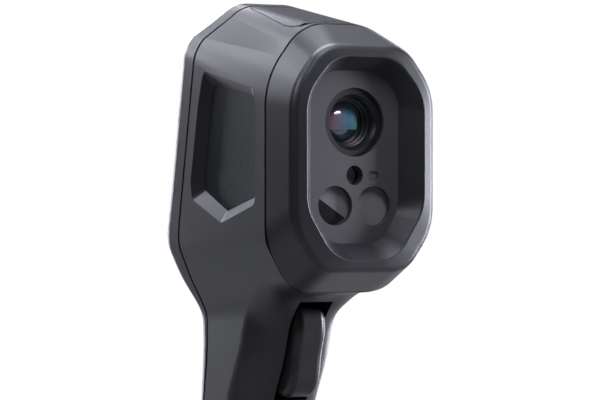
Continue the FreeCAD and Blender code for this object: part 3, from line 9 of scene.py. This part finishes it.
import bmesh
import bpy
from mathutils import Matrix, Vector


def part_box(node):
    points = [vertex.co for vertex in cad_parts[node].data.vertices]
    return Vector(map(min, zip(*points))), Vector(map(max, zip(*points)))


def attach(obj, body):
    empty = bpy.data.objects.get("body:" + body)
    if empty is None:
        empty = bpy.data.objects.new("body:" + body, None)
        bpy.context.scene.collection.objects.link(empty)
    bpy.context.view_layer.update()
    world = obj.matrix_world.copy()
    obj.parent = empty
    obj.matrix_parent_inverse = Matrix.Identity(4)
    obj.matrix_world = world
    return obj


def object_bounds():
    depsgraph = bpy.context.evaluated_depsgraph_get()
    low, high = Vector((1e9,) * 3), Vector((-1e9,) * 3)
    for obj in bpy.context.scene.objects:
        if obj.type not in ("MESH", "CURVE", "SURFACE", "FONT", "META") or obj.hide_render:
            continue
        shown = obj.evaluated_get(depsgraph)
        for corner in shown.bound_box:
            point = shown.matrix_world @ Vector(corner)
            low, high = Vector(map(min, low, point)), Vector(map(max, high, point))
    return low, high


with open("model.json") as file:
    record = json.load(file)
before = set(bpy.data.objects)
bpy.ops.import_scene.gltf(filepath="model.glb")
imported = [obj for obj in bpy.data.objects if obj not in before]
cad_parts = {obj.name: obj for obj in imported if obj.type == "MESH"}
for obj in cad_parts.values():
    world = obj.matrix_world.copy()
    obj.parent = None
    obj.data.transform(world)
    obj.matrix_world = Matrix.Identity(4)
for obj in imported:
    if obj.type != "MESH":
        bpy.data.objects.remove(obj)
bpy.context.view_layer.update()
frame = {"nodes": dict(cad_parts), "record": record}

NODES = frame["nodes"]
MM = 0.001

# ---------------------------------------------------------------- material constants

WEAR_RADIUS = 0.35 * MM
SKIN_SCALE = 2400.0
PLASTIC_IOR = 1.5
WINDOW_IOR = 1.45
GERMANIUM_IOR = 2.4
COAT_ROUGHNESS = 0.04

# ---------------------------------------------------------------- node trees


class Tree:
    """Short names for building one material's nodes."""

    def __init__(self, name):
        self.material = bpy.data.materials.new(name)
        self.material.use_nodes = True
        self.nodes = self.material.node_tree.nodes
        self.links = self.material.node_tree.links
        self.shader = self.nodes["Principled BSDF"]
        self.place = self.add("ShaderNodeTexCoord").outputs["Object"]

    def add(self, kind, **settings):
        node = self.nodes.new(kind)
        for key, value in settings.items():
            setattr(node, key, value)
        return node

    def link(self, output, socket):
        self.links.new(output, socket)
        return output

    def set(self, **values):
        """Set the shader's own sockets, such as roughness=0.5."""
        for key, value in values.items():
            self.shader.inputs[key.replace("_", " ")].default_value = value

    def noise(self, scale, detail=2.0, rough=0.5, stretch=None, distortion=0.0):
        """Noise over the part, scale in features per metre."""
        texture = self.add("ShaderNodeTexNoise")
        texture.inputs["Scale"].default_value = scale
        texture.inputs["Detail"].default_value = detail
        texture.inputs["Roughness"].default_value = rough
        texture.inputs["Distortion"].default_value = distortion
        self.link(self.stretched(stretch), texture.inputs["Vector"])
        return texture.outputs["Fac"]

    def cells(self, scale, feature="F1", stretch=None):
        texture = self.add("ShaderNodeTexVoronoi", feature=feature)
        texture.inputs["Scale"].default_value = scale
        self.link(self.stretched(stretch), texture.inputs["Vector"])
        return texture.outputs["Distance"]

    def stretched(self, stretch):
        if stretch is None:
            return self.place
        mapping = self.add("ShaderNodeMapping")
        mapping.inputs["Scale"].default_value = stretch
        self.link(self.place, mapping.inputs["Vector"])
        return mapping.outputs["Vector"]

    def ramp(self, source, low, high, start=0.0, end=1.0, smooth=True):
        """Map source from low..high to start..end."""
        node = self.add("ShaderNodeMapRange", interpolation_type="SMOOTHSTEP" if smooth else "LINEAR")
        node.inputs["From Min"].default_value = low
        node.inputs["From Max"].default_value = high
        node.inputs["To Min"].default_value = start
        node.inputs["To Max"].default_value = end
        self.link(source, node.inputs["Value"])
        return node.outputs["Result"]

    def calculate(self, operation, first, second=0.0):
        node = self.add("ShaderNodeMath", operation=operation)
        for socket, value in zip(node.inputs, (first, second)):
            if isinstance(value, (int, float)):
                socket.default_value = value
            else:
                self.link(value, socket)
        return node.outputs["Value"]

    def blend(self, factor, first, second):
        """Mix of two colours, each a tuple or an output."""
        node = self.add("ShaderNodeMix", data_type="RGBA")
        self.link(factor, node.inputs["Factor"])
        for socket, value in ((node.inputs[6], first), (node.inputs[7], second)):
            if isinstance(value, tuple):
                socket.default_value = (*value, 1.0)
            else:
                self.link(value, socket)
        return node.outputs[2]

    def bump(self, height, strength, distance, under=None):
        node = self.add("ShaderNodeBump")
        node.inputs["Strength"].default_value = strength
        node.inputs["Distance"].default_value = distance
        self.link(height, node.inputs["Height"])
        if under is not None:
            self.link(under, node.inputs["Normal"])
        return node.outputs["Normal"]

    def axis(self, name):
        split = self.add("ShaderNodeSeparateXYZ")
        self.link(self.place, split.inputs["Vector"])
        return split.outputs[name]

    def wear(self):
        """1 along edges, 0 on flats and gentle curves."""
        rounded = self.add("ShaderNodeBevel", samples=4)
        rounded.inputs["Radius"].default_value = WEAR_RADIUS
        dot = self.add("ShaderNodeVectorMath", operation="DOT_PRODUCT")
        self.link(rounded.outputs["Normal"], dot.inputs[0])
        self.link(self.add("ShaderNodeNewGeometry").outputs["Normal"], dot.inputs[1])
        return self.ramp(dot.outputs["Value"], 0.97, 0.85)

    def finish(self, colour=None, rough=None, normal=None):
        if colour is not None:
            self.link(colour, self.shader.inputs["Base Color"])
        if rough is not None:
            self.link(rough, self.shader.inputs["Roughness"])
        if normal is not None:
            self.link(normal, self.shader.inputs["Normal"])
        return self.material


def moulded(name, dark, light, rough, grain=1900.0, depth=0.03, worn=(0.05, 0.05, 0.055)):
    """Spark-eroded plastic: fine pebbled grain, faint mottling, polished edges."""
    tree = Tree(name)
    mottle = tree.noise(38.0, 3.0, 0.5)
    pebble = tree.noise(grain, 3.0, 0.6, distortion=0.2)
    fine = tree.noise(grain * 2.7, 2.0, 0.5)
    shade = tree.blend(tree.ramp(mottle, 0.3, 0.7), dark, light)
    edge = tree.calculate("MULTIPLY", tree.wear(), tree.ramp(tree.noise(420.0, 3.0), 0.42, 0.7))
    shade = tree.blend(tree.calculate("MULTIPLY", edge, 0.35), shade, worn)
    roughness = tree.ramp(pebble, 0.3, 0.7, rough + 0.04, rough - 0.03)
    roughness = tree.calculate("SUBTRACT", roughness, tree.calculate("MULTIPLY", edge, 0.08))
    normal = tree.bump(pebble, 0.4, depth * MM)
    normal = tree.bump(fine, 0.3, depth * 0.4 * MM, normal)
    tree.set(IOR=PLASTIC_IOR)
    return tree.finish(shade, roughness, normal)


def satin(name, dark, light, rough, depth=0.012, metallic=0.0):
    """Smooth moulding or coating with a very fine skin and a little dust."""
    tree = Tree(name)
    cloud = tree.noise(90.0, 4.0, 0.6)
    skin = tree.noise(SKIN_SCALE, 2.0, 0.5)
    shade = tree.blend(tree.ramp(cloud, 0.3, 0.72), dark, light)
    roughness = tree.ramp(skin, 0.3, 0.7, rough - 0.05, rough + 0.06)
    normal = tree.bump(skin, 0.4, depth * MM)
    tree.set(Metallic=metallic)
    return tree.finish(shade, roughness, normal)


def brushed(name, dark, light, rough, stretch):
    """Machined or drawn metal with fine lines across the stretched axis."""
    tree = Tree(name)
    lines = tree.noise(900.0, 4.0, 0.65, stretch)
    tarnish = tree.noise(160.0, 4.0, 0.6)
    shade = tree.blend(tree.ramp(lines, 0.25, 0.75), dark, light)
    shade = tree.blend(tree.calculate("MULTIPLY", tree.ramp(tarnish, 0.55, 0.8), 0.3), shade, dark)
    roughness = tree.ramp(tarnish, 0.3, 0.75, rough, rough + 0.16)
    normal = tree.bump(lines, 0.25, 0.01 * MM)
    tree.set(Metallic=1.0)
    return tree.finish(shade, roughness, normal)


def circuit(name):
    """Solder mask over copper tracks."""
    tree = Tree(name)
    tracks = tree.cells(420.0, "DISTANCE_TO_EDGE", (1.0, 1.0, 1.0))
    line = tree.ramp(tracks, 0.03, 0.07, 1.0, 0.0)
    weave = tree.noise(2600.0, 2.0)
    shade = tree.blend(line, (0.008, 0.055, 0.024), (0.03, 0.16, 0.07))
    glint = tree.calculate("MULTIPLY", tree.ramp(weave, 0.5, 0.8), 0.2)
    shade = tree.blend(glint, shade, (0.05, 0.2, 0.1))
    roughness = tree.ramp(weave, 0.3, 0.7, 0.28, 0.4)
    return tree.finish(shade, roughness, tree.bump(line, 0.3, 0.03 * MM))


def lens_coating_and_painted_reflection(name, centre, radius):
    """Germanium: the hue ramp from mauve to cyan across the dome is the coating's tint together with a
    painted reflection of the studio, and the darker blue towards its foot, below a level line, is a
    painted reflection of the horizon.
    """
    tree = Tree(name)
    # painted reflection over the coating's tint: hue ramp by position across the dome
    across = tree.ramp(tree.axis("X"), centre.x - radius, centre.x + radius, smooth=False)
    ramp = tree.add("ShaderNodeValToRGB")
    stops = [(0.0, (0.30, 0.17, 0.22)), (0.22, (0.46, 0.28, 0.36)), (0.42, (0.30, 0.34, 0.50)),
             (0.62, (0.16, 0.42, 0.60)), (0.80, (0.34, 0.74, 0.88)), (1.0, (0.60, 0.90, 0.98))]
    while len(ramp.color_ramp.elements) < len(stops):
        ramp.color_ramp.elements.new(0.5)
    for element, (spot, colour) in zip(ramp.color_ramp.elements, stops):
        element.position = spot
        element.color = (*colour, 1.0)
    tree.link(across, ramp.inputs["Fac"])
    # painted reflection: darker blue below a level line near the foot of the dome
    foot = tree.ramp(tree.axis("Z"), centre.z - 0.34 * radius, centre.z - 0.28 * radius)
    shade = tree.blend(foot, (0.035, 0.075, 0.14), ramp.outputs["Color"])
    haze = tree.noise(700.0, 3.0)
    tree.set(Metallic=0.25, IOR=GERMANIUM_IOR, Coat_Weight=0.5, Coat_Roughness=COAT_ROUGHNESS)
    return tree.finish(shade, tree.ramp(haze, 0.3, 0.75, 0.10, 0.18))


def window_glass(name, tint, rough, transmission):
    """Moulded clear window with faint smears."""
    tree = Tree(name)
    smear = tree.noise(260.0, 4.0, 0.6, (1.0, 1.0, 0.35))
    shade = tree.blend(tree.ramp(smear, 0.45, 0.8), tint, tuple(min(1.0, c * 1.06) for c in tint))
    roughness = tree.ramp(smear, 0.4, 0.8, rough, rough + 0.07)
    tree.set(Transmission_Weight=transmission, IOR=WINDOW_IOR)
    return tree.finish(shade, roughness)


def glossy(name, dark, light, rough, coat=0.5):
    """Polished dark moulding under a clear coat."""
    tree = Tree(name)
    smear = tree.noise(150.0, 4.0, 0.6, (1.0, 1.0, 0.5))
    shade = tree.blend(tree.ramp(smear, 0.4, 0.75), dark, light)
    tree.set(Coat_Weight=coat, Coat_Roughness=COAT_ROUGHNESS)
    return tree.finish(shade, tree.ramp(smear, 0.35, 0.8, rough, rough + 0.08))


# ---------------------------------------------------------------- the record's finishes

LENS_LOW, LENS_HIGH = (Vector(corner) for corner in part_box("front_lens"))
LENS_MIDDLE = (LENS_LOW + LENS_HIGH) / 2
LENS_RADIUS = (LENS_HIGH.x - LENS_LOW.x) / 2

FINISHES = {
    "charcoal_plastic": moulded("charcoal_plastic", (0.013, 0.0135, 0.016), (0.016, 0.0165, 0.019),
                                0.38),
    "inlay_plastic": moulded("inlay_plastic", (0.010, 0.011, 0.014), (0.013, 0.014, 0.018), 0.30,
                             grain=2600.0, depth=0.006),
    "satin_black": satin("satin_black", (0.006, 0.006, 0.007), (0.008, 0.008, 0.009), 0.33,
                         depth=0.006),
    "grey_panel": moulded("grey_panel", (0.050, 0.048, 0.052), (0.056, 0.054, 0.058), 0.42,
                          grain=3200.0, depth=0.006),
    "smoked_plastic": glossy("smoked_plastic", (0.012, 0.012, 0.013), (0.02, 0.02, 0.02), 0.12),
    "black_nylon": moulded("black_nylon", (0.012, 0.012, 0.012), (0.02, 0.02, 0.02), 0.5, grain=1900.0),
    "black_ring": satin("black_ring", (0.003, 0.003, 0.003), (0.004, 0.004, 0.004), 0.42, depth=0.002),
    "black_anodised": satin("black_anodised", (0.004, 0.004, 0.004), (0.006, 0.006, 0.006), 0.45,
                            depth=0.004),
    "germanium": lens_coating_and_painted_reflection("germanium", LENS_MIDDLE, LENS_RADIUS),
    "shutter_metal": brushed("shutter_metal", (0.03, 0.03, 0.03), (0.05, 0.05, 0.05), 0.4,
                             (1.0, 1.0, 8.0)),
    "sensor_can": brushed("sensor_can", (0.42, 0.40, 0.36), (0.60, 0.58, 0.52), 0.28, (8.0, 1.0, 1.0)),
    "circuit_board": circuit("circuit_board"),
    "clear_window": window_glass("clear_window", (0.24, 0.24, 0.25), 0.12, 0.35),
    "diffuser_window": window_glass("diffuser_window", (0.17, 0.17, 0.175), 0.3, 0.1),
    "led_ceramic": satin("led_ceramic", (0.80, 0.66, 0.20), (0.86, 0.74, 0.28), 0.4),
    "bright_reflector": satin("bright_reflector", (0.82, 0.82, 0.83), (0.88, 0.88, 0.89), 0.1,
                              0.004, 1.0),
    "brass_module": brushed("brass_module", (0.55, 0.38, 0.14), (0.72, 0.54, 0.24), 0.25,
                            (1.0, 6.0, 1.0)),
    "brass_insert": brushed("brass_insert", (0.55, 0.38, 0.14), (0.72, 0.54, 0.24), 0.28,
                            (1.0, 1.0, 7.0)),
    "steel_screws": brushed("steel_screws", (0.20, 0.20, 0.21), (0.33, 0.33, 0.34), 0.3,
                            (4.0, 1.0, 1.0)),
    "steel_pins": brushed("steel_pins", (0.42, 0.42, 0.43), (0.56, 0.56, 0.57), 0.22, (8.0, 1.0, 1.0)),
    "steel_spring": brushed("steel_spring", (0.40, 0.40, 0.41), (0.52, 0.52, 0.53), 0.24,
                            (1.0, 8.0, 1.0)),
    "port_steel": brushed("port_steel", (0.44, 0.44, 0.45), (0.60, 0.60, 0.61), 0.25, (1.0, 1.0, 6.0)),
    "socket_plastic": satin("socket_plastic", (0.62, 0.42, 0.03), (0.74, 0.52, 0.05), 0.42),
    "switch_plastic": satin("switch_plastic", (0.03, 0.03, 0.03), (0.05, 0.05, 0.05), 0.45),
    "key_rubber": moulded("key_rubber", (0.075, 0.076, 0.080), (0.090, 0.091, 0.096), 0.55,
                          grain=2800.0, depth=0.02, worn=(0.14, 0.14, 0.15)),
    "black_rubber": satin("black_rubber", (0.004, 0.004, 0.004), (0.007, 0.007, 0.007), 0.7),
    "silicone_mat": satin("silicone_mat", (0.22, 0.22, 0.23), (0.30, 0.30, 0.31), 0.5),
    "black_foam": moulded("black_foam", (0.006, 0.006, 0.006), (0.014, 0.014, 0.014), 0.8,
                          grain=1800.0),
    "display_glass": glossy("display_glass", (0.004, 0.004, 0.005), (0.006, 0.006, 0.007), 0.03, 1.0),
    "display_module": glossy("display_module", (0.02, 0.02, 0.025), (0.03, 0.03, 0.035), 0.2),
    "battery_wrap": glossy("battery_wrap", (0.02, 0.07, 0.24), (0.03, 0.10, 0.30), 0.25),
    "nickel_contacts": brushed("nickel_contacts", (0.50, 0.48, 0.44), (0.64, 0.62, 0.57), 0.25,
                               (1.0, 8.0, 1.0)),
    "lead_wire": satin("lead_wire", (0.30, 0.015, 0.015), (0.42, 0.03, 0.03), 0.4),
    "flex_ribbon": satin("flex_ribbon", (0.40, 0.18, 0.03), (0.52, 0.26, 0.05), 0.3),
}

# nodes that differ from the rest of their slot
SPECIAL = {
    "laser_window": window_glass("laser_diffuser", (0.30, 0.30, 0.31), 0.35, 0.0),
    "light_pipe": satin("light_pipe", (0.085, 0.084, 0.088), (0.10, 0.10, 0.104), 0.3),
}


def paint(obj, material):
    obj.data.materials.clear()
    obj.data.materials.append(material)


for part in frame["record"]["subparts"]:
    paint(NODES[part["node"]], SPECIAL.get(part["node"], FINISHES[part["material_slot"]]))

# ---------------------------------------------------------------- raised and printed details, and a painted reflection sheet

ICON_PRINT = satin("icon_print", (0.36, 0.36, 0.37), (0.42, 0.42, 0.43), 0.45, 0.006)
# painted reflection: colour of the dark sheet on the camera window
PAINTED_REFLECTION_DARK = glossy("painted_reflection_dark", (0.012, 0.012, 0.013), (0.018, 0.018, 0.019), 0.16, 0.3)
PICTURE_FILM = glossy("picture_film", (0.010, 0.012, 0.018), (0.014, 0.017, 0.026), 0.12, 0.6)
MOVING = frame["record"]["behaviour"]
KEY_AXES = {joint["child"]: Vector(joint["axis"]) for joint in MOVING["joints"]
            if joint["child"].startswith("key_")}
BODY_OF = {node: body for body, nodes in MOVING["bodies"].items() for node in nodes}


def plate(name, outlines, thickness, origin, across, up, material, body, round_to=0.05):
    """Thin raised shapes drawn in millimetres on the plane through origin, with softened edges."""
    work = bmesh.new()
    normal = across.cross(up).normalized()
    for outline in outlines:
        foot = [work.verts.new(origin + (across * x + up * y) * MM) for x, y in outline]
        face = work.faces.new(foot)
        top = bmesh.ops.extrude_face_region(work, geom=[face])
        moved = [item for item in top["geom"] if isinstance(item, bmesh.types.BMVert)]
        bmesh.ops.translate(work, verts=moved, vec=normal * thickness * MM)
    bmesh.ops.recalc_face_normals(work, faces=work.faces)
    mesh = bpy.data.meshes.new(name)
    work.to_mesh(mesh)
    work.free()
    mesh.materials.append(material)
    piece = bpy.data.objects.new(name, mesh)
    bpy.context.scene.collection.objects.link(piece)
    softened = piece.modifiers.new("softened", "BEVEL")
    softened.width = round_to * MM
    softened.segments = 2
    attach(piece, body)


def face_towards(node, normal):
    """Middle of a node's outermost face in a direction, from its vertices."""
    points = [vertex.co for vertex in NODES[node].data.vertices]
    reach = max(point.dot(normal) for point in points)
    near = [point for point in points if point.dot(normal) > reach - 0.02 * MM]
    low = Vector(min(point[k] for point in near) for k in range(3))
    high = Vector(max(point[k] for point in near) for k in range(3))
    return (low + high) / 2


DOT_SIDES = 24
ICON_RAISED = 0.07
ICON_SUNK = 0.02
PRINT_EDGE = 0.02

# plain marks in millimetres, seen from behind the camera
ICONS = {
    "key_up": [[(-1.7, -0.7), (1.7, -0.7), (0.0, 0.9)]],
    "key_down": [[(-1.7, 0.7), (0.0, -0.9), (1.7, 0.7)]],
    "key_select": [[(math.cos(math.tau * k / DOT_SIDES), math.sin(math.tau * k / DOT_SIDES))
                    for k in range(DOT_SIDES)]],
    "key_return": [[(-1.9, 0.0), (-0.4, -1.2), (-0.4, -0.4), (1.7, -0.4), (1.7, 0.4), (-0.4, 0.4),
                    (-0.4, 1.2)]],
    "key_gallery": [[(-1.7, -1.2), (0.9, -1.2), (0.9, 0.5), (-1.7, 0.5)],
                    [(1.3, -0.7), (1.7, -0.7), (1.7, 1.2), (-1.1, 1.2), (-1.1, 0.9), (1.3, 0.9)]],
}


def make_key_icons():
    across = Vector((-1.0, 0.0, 0.0))
    for node, outlines in ICONS.items():
        body = BODY_OF[node]
        normal = -KEY_AXES[body].normalized()
        up = normal.cross(across)
        origin = face_towards(node, normal) - normal * ICON_SUNK * MM
        plate(node + "_icon", outlines, ICON_RAISED, origin, across, up, ICON_PRINT, body,
              PRINT_EDGE)


PICTURE_MARGIN_SIDE = 1.8
PICTURE_MARGIN_END = 3.4
PICTURE_THICK = 0.03
PICTURE_EDGE = 0.01


def make_display_picture():
    """Active area of the switched-off display, seen through its dark window."""
    across = Vector((-1.0, 0.0, 0.0))
    normal = -KEY_AXES[BODY_OF["key_select"]].normalized()
    up = normal.cross(across)
    low, high = (Vector(corner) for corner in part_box("display_module"))
    half_w = (high.x - low.x) / 2 / MM - PICTURE_MARGIN_SIDE
    half_h = (high.z - low.z) / 2 / MM - PICTURE_MARGIN_END
    outline = [(-half_w, -half_h), (half_w, -half_h), (half_w, half_h), (-half_w, half_h)]
    origin = face_towards("display_window", normal)
    plate("display_picture", [outline], PICTURE_THICK, origin, across, up,
          PICTURE_FILM, "case", PICTURE_EDGE)


# shape of the sheet that paints the dark side of a reflection edge on the camera window
REFLECTION_SHEET_TILT = math.radians(-33.0)
REFLECTION_SHEET_SWEEP = math.radians(168.0)
REFLECTION_SHEET_SIDES = 30
REFLECTION_SHEET_THICK = 0.08
REFLECTION_SHEET_RIM = 0.75


def make_painted_reflection_sheet():
    """Painted reflection: a thin dark sheet on the camera window, below a sloping line, stands for the
    dark side of a reflection edge.
    """
    low, high = (Vector(corner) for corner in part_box("camera_window"))
    origin = Vector(((low.x + high.x) / 2, low.y, (low.z + high.z) / 2))
    radius = (high.x - low.x) / 2 / MM - REFLECTION_SHEET_RIM
    start = REFLECTION_SHEET_TILT - (math.pi + REFLECTION_SHEET_SWEEP) / 2
    turns = [start + REFLECTION_SHEET_SWEEP * k / REFLECTION_SHEET_SIDES for k in range(REFLECTION_SHEET_SIDES + 1)]
    outline = [(radius * math.cos(turn), radius * math.sin(turn)) for turn in turns]
    across, up = Vector((1.0, 0.0, 0.0)), Vector((0.0, 0.0, 1.0))
    plate("camera_painted_reflection_sheet", [outline], REFLECTION_SHEET_THICK, origin, across, up,
          PAINTED_REFLECTION_DARK, "case", PRINT_EDGE)


make_key_icons()
make_display_picture()
make_painted_reflection_sheet()

# ---------------------------------------------------------------- studio

FLOOR_RADIUS = 0.85
CAMERA_LENS = 190.6
CAMERA_PLACE = (-0.5864, -1.0050, 0.1396)
CAMERA_TURN = math.radians(-31.0)
FLOOR_GAP = 0.0003
FILL_STRENGTH = 0.06
LAMP_COLOUR = (0.95, 0.96, 1.07)
HEAD_LOW, HEAD_HIGH = (Vector(corner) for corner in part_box("main_housing"))
PANEL_LOW, PANEL_HIGH = (Vector(corner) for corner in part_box("lens_panel"))
HEAD_MIDDLE = Vector((0.0, (HEAD_LOW.y + HEAD_HIGH.y) / 2, (PANEL_LOW.z + PANEL_HIGH.z) / 2))


def make_camera():
    """Level view from the front left, at the height of the lower part of the head."""
    data = bpy.data.cameras.new("studio_camera")
    camera = bpy.data.objects.new("studio_camera", data)
    bpy.context.scene.collection.objects.link(camera)
    data.lens = CAMERA_LENS
    data.sensor_width = 36.0
    data.clip_start = 0.01
    data.clip_end = 20.0
    camera.location = CAMERA_PLACE
    camera.rotation_euler = (math.radians(90.0), 0.0, CAMERA_TURN)
    bpy.context.scene.camera = camera


def make_floor():
    """Pale round floor that fades to the white of the backdrop."""
    mesh = bpy.data.meshes.new("floor")
    work = bmesh.new()
    bmesh.ops.create_circle(work, cap_ends=True, segments=96, radius=FLOOR_RADIUS)
    work.to_mesh(mesh)
    work.free()
    floor = bpy.data.objects.new("floor", mesh)
    bpy.context.scene.collection.objects.link(floor)
    floor.location = (0.0, HEAD_MIDDLE.y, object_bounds()[0][2] - FLOOR_GAP)
    tree = Tree("floor_paper")
    grain = tree.noise(60.0, 3.0)
    distance = tree.add("ShaderNodeVectorMath", operation="LENGTH")
    tree.link(tree.place, distance.inputs[0])
    fade = tree.ramp(distance.outputs["Value"], FLOOR_RADIUS * 0.3, FLOOR_RADIUS * 0.98)
    seen = tree.add("ShaderNodeLightPath").outputs["Is Camera Ray"]
    glow = tree.calculate("MULTIPLY", fade, seen)
    tree.link(tree.blend(glow, (0.0, 0.0, 0.0), (1.0, 1.0, 1.0)), tree.shader.inputs["Emission Color"])
    tree.set(Emission_Strength=1.0, Specular_IOR_Level=0.2)
    base = tree.blend(tree.ramp(grain, 0.3, 0.7), (0.78, 0.78, 0.79), (0.82, 0.82, 0.83))
    base = tree.blend(seen, (0.20, 0.20, 0.20), base)
    base = tree.blend(fade, base, (0.0, 0.0, 0.0))
    mesh.materials.append(tree.finish(base, tree.ramp(grain, 0.3, 0.7, 0.6, 0.75)))


def make_world():
    world = bpy.data.worlds.new("studio")
    bpy.context.scene.world = world
    world.use_nodes = True
    nodes, links = world.node_tree.nodes, world.node_tree.links
    seen = nodes["Background"]
    seen.inputs["Color"].default_value = (1.0, 1.0, 1.0, 1.0)
    seen.inputs["Strength"].default_value = 1.0
    fill = nodes.new("ShaderNodeBackground")
    fill.inputs["Color"].default_value = (0.95, 0.97, 1.0, 1.0)
    fill.inputs["Strength"].default_value = FILL_STRENGTH
    path = nodes.new("ShaderNodeLightPath")
    mix = nodes.new("ShaderNodeMixShader")
    links.new(path.outputs["Is Camera Ray"], mix.inputs["Fac"])
    links.new(fill.outputs["Background"], mix.inputs[1])
    links.new(seen.outputs["Background"], mix.inputs[2])
    links.new(mix.outputs["Shader"], nodes["World Output"].inputs["Surface"])


def softbox(name, away, target, width, height, power):
    """Rectangular lamp at an offset from its target, aimed at it."""
    data = bpy.data.lights.new(name, "AREA")
    data.shape = "RECTANGLE"
    data.size = width
    data.size_y = height
    data.energy = power
    data.color = LAMP_COLOUR
    lamp = bpy.data.objects.new(name, data)
    bpy.context.scene.collection.objects.link(lamp)
    lamp.location = target + Vector(away)
    lamp.rotation_euler = (-Vector(away)).to_track_quat("-Z", "Y").to_euler()
    lamp.visible_camera = False


# stops below the key light, by the lamp's role
STOPS = {"key": 0, "rim": -1, "fill": -2, "accent": -3}
KEY_LEVEL = 20.0

# name, role, offset from the middle of the head, width, height
LAMPS = [
    ("top_light", "key", (0.0, 0.02, 0.50), 0.40, 0.30),
    ("near_rear_light", "accent", (-0.13, 0.17, 0.20), 0.10, 0.10),
    ("near_side_light", "accent", (-0.10, 0.17, 0.09), 0.05, 0.05),
    ("near_flank_light", "accent", (-0.19, -0.11, 0.15), 0.08, 0.08),
    ("right_front_light", "key", (0.55, -0.26, -0.05), 0.14, 0.45),
    ("right_rim_light", "rim", (0.42, 0.22, 0.02), 0.20, 0.60),
    ("back_light", "rim", (0.10, 0.60, 0.25), 0.30, 0.30),
    ("back_low_light", "fill", (-0.10, 0.70, -0.08), 0.16, 0.50),
    ("front_high_light", "fill", (0.05, -0.50, 0.55), 0.30, 0.30),
]


def make_lights():
    """Each lamp's power grows with the square of its distance and doubles with each stop."""
    for name, role, away, width, height in LAMPS:
        power = KEY_LEVEL * Vector(away).length_squared * 2.0 ** STOPS[role]
        softbox(name, away, HEAD_MIDDLE, width, height, power)


make_camera()
make_floor()
make_world()
make_lights()
bpy.context.scene.view_settings.view_transform = "Standard"
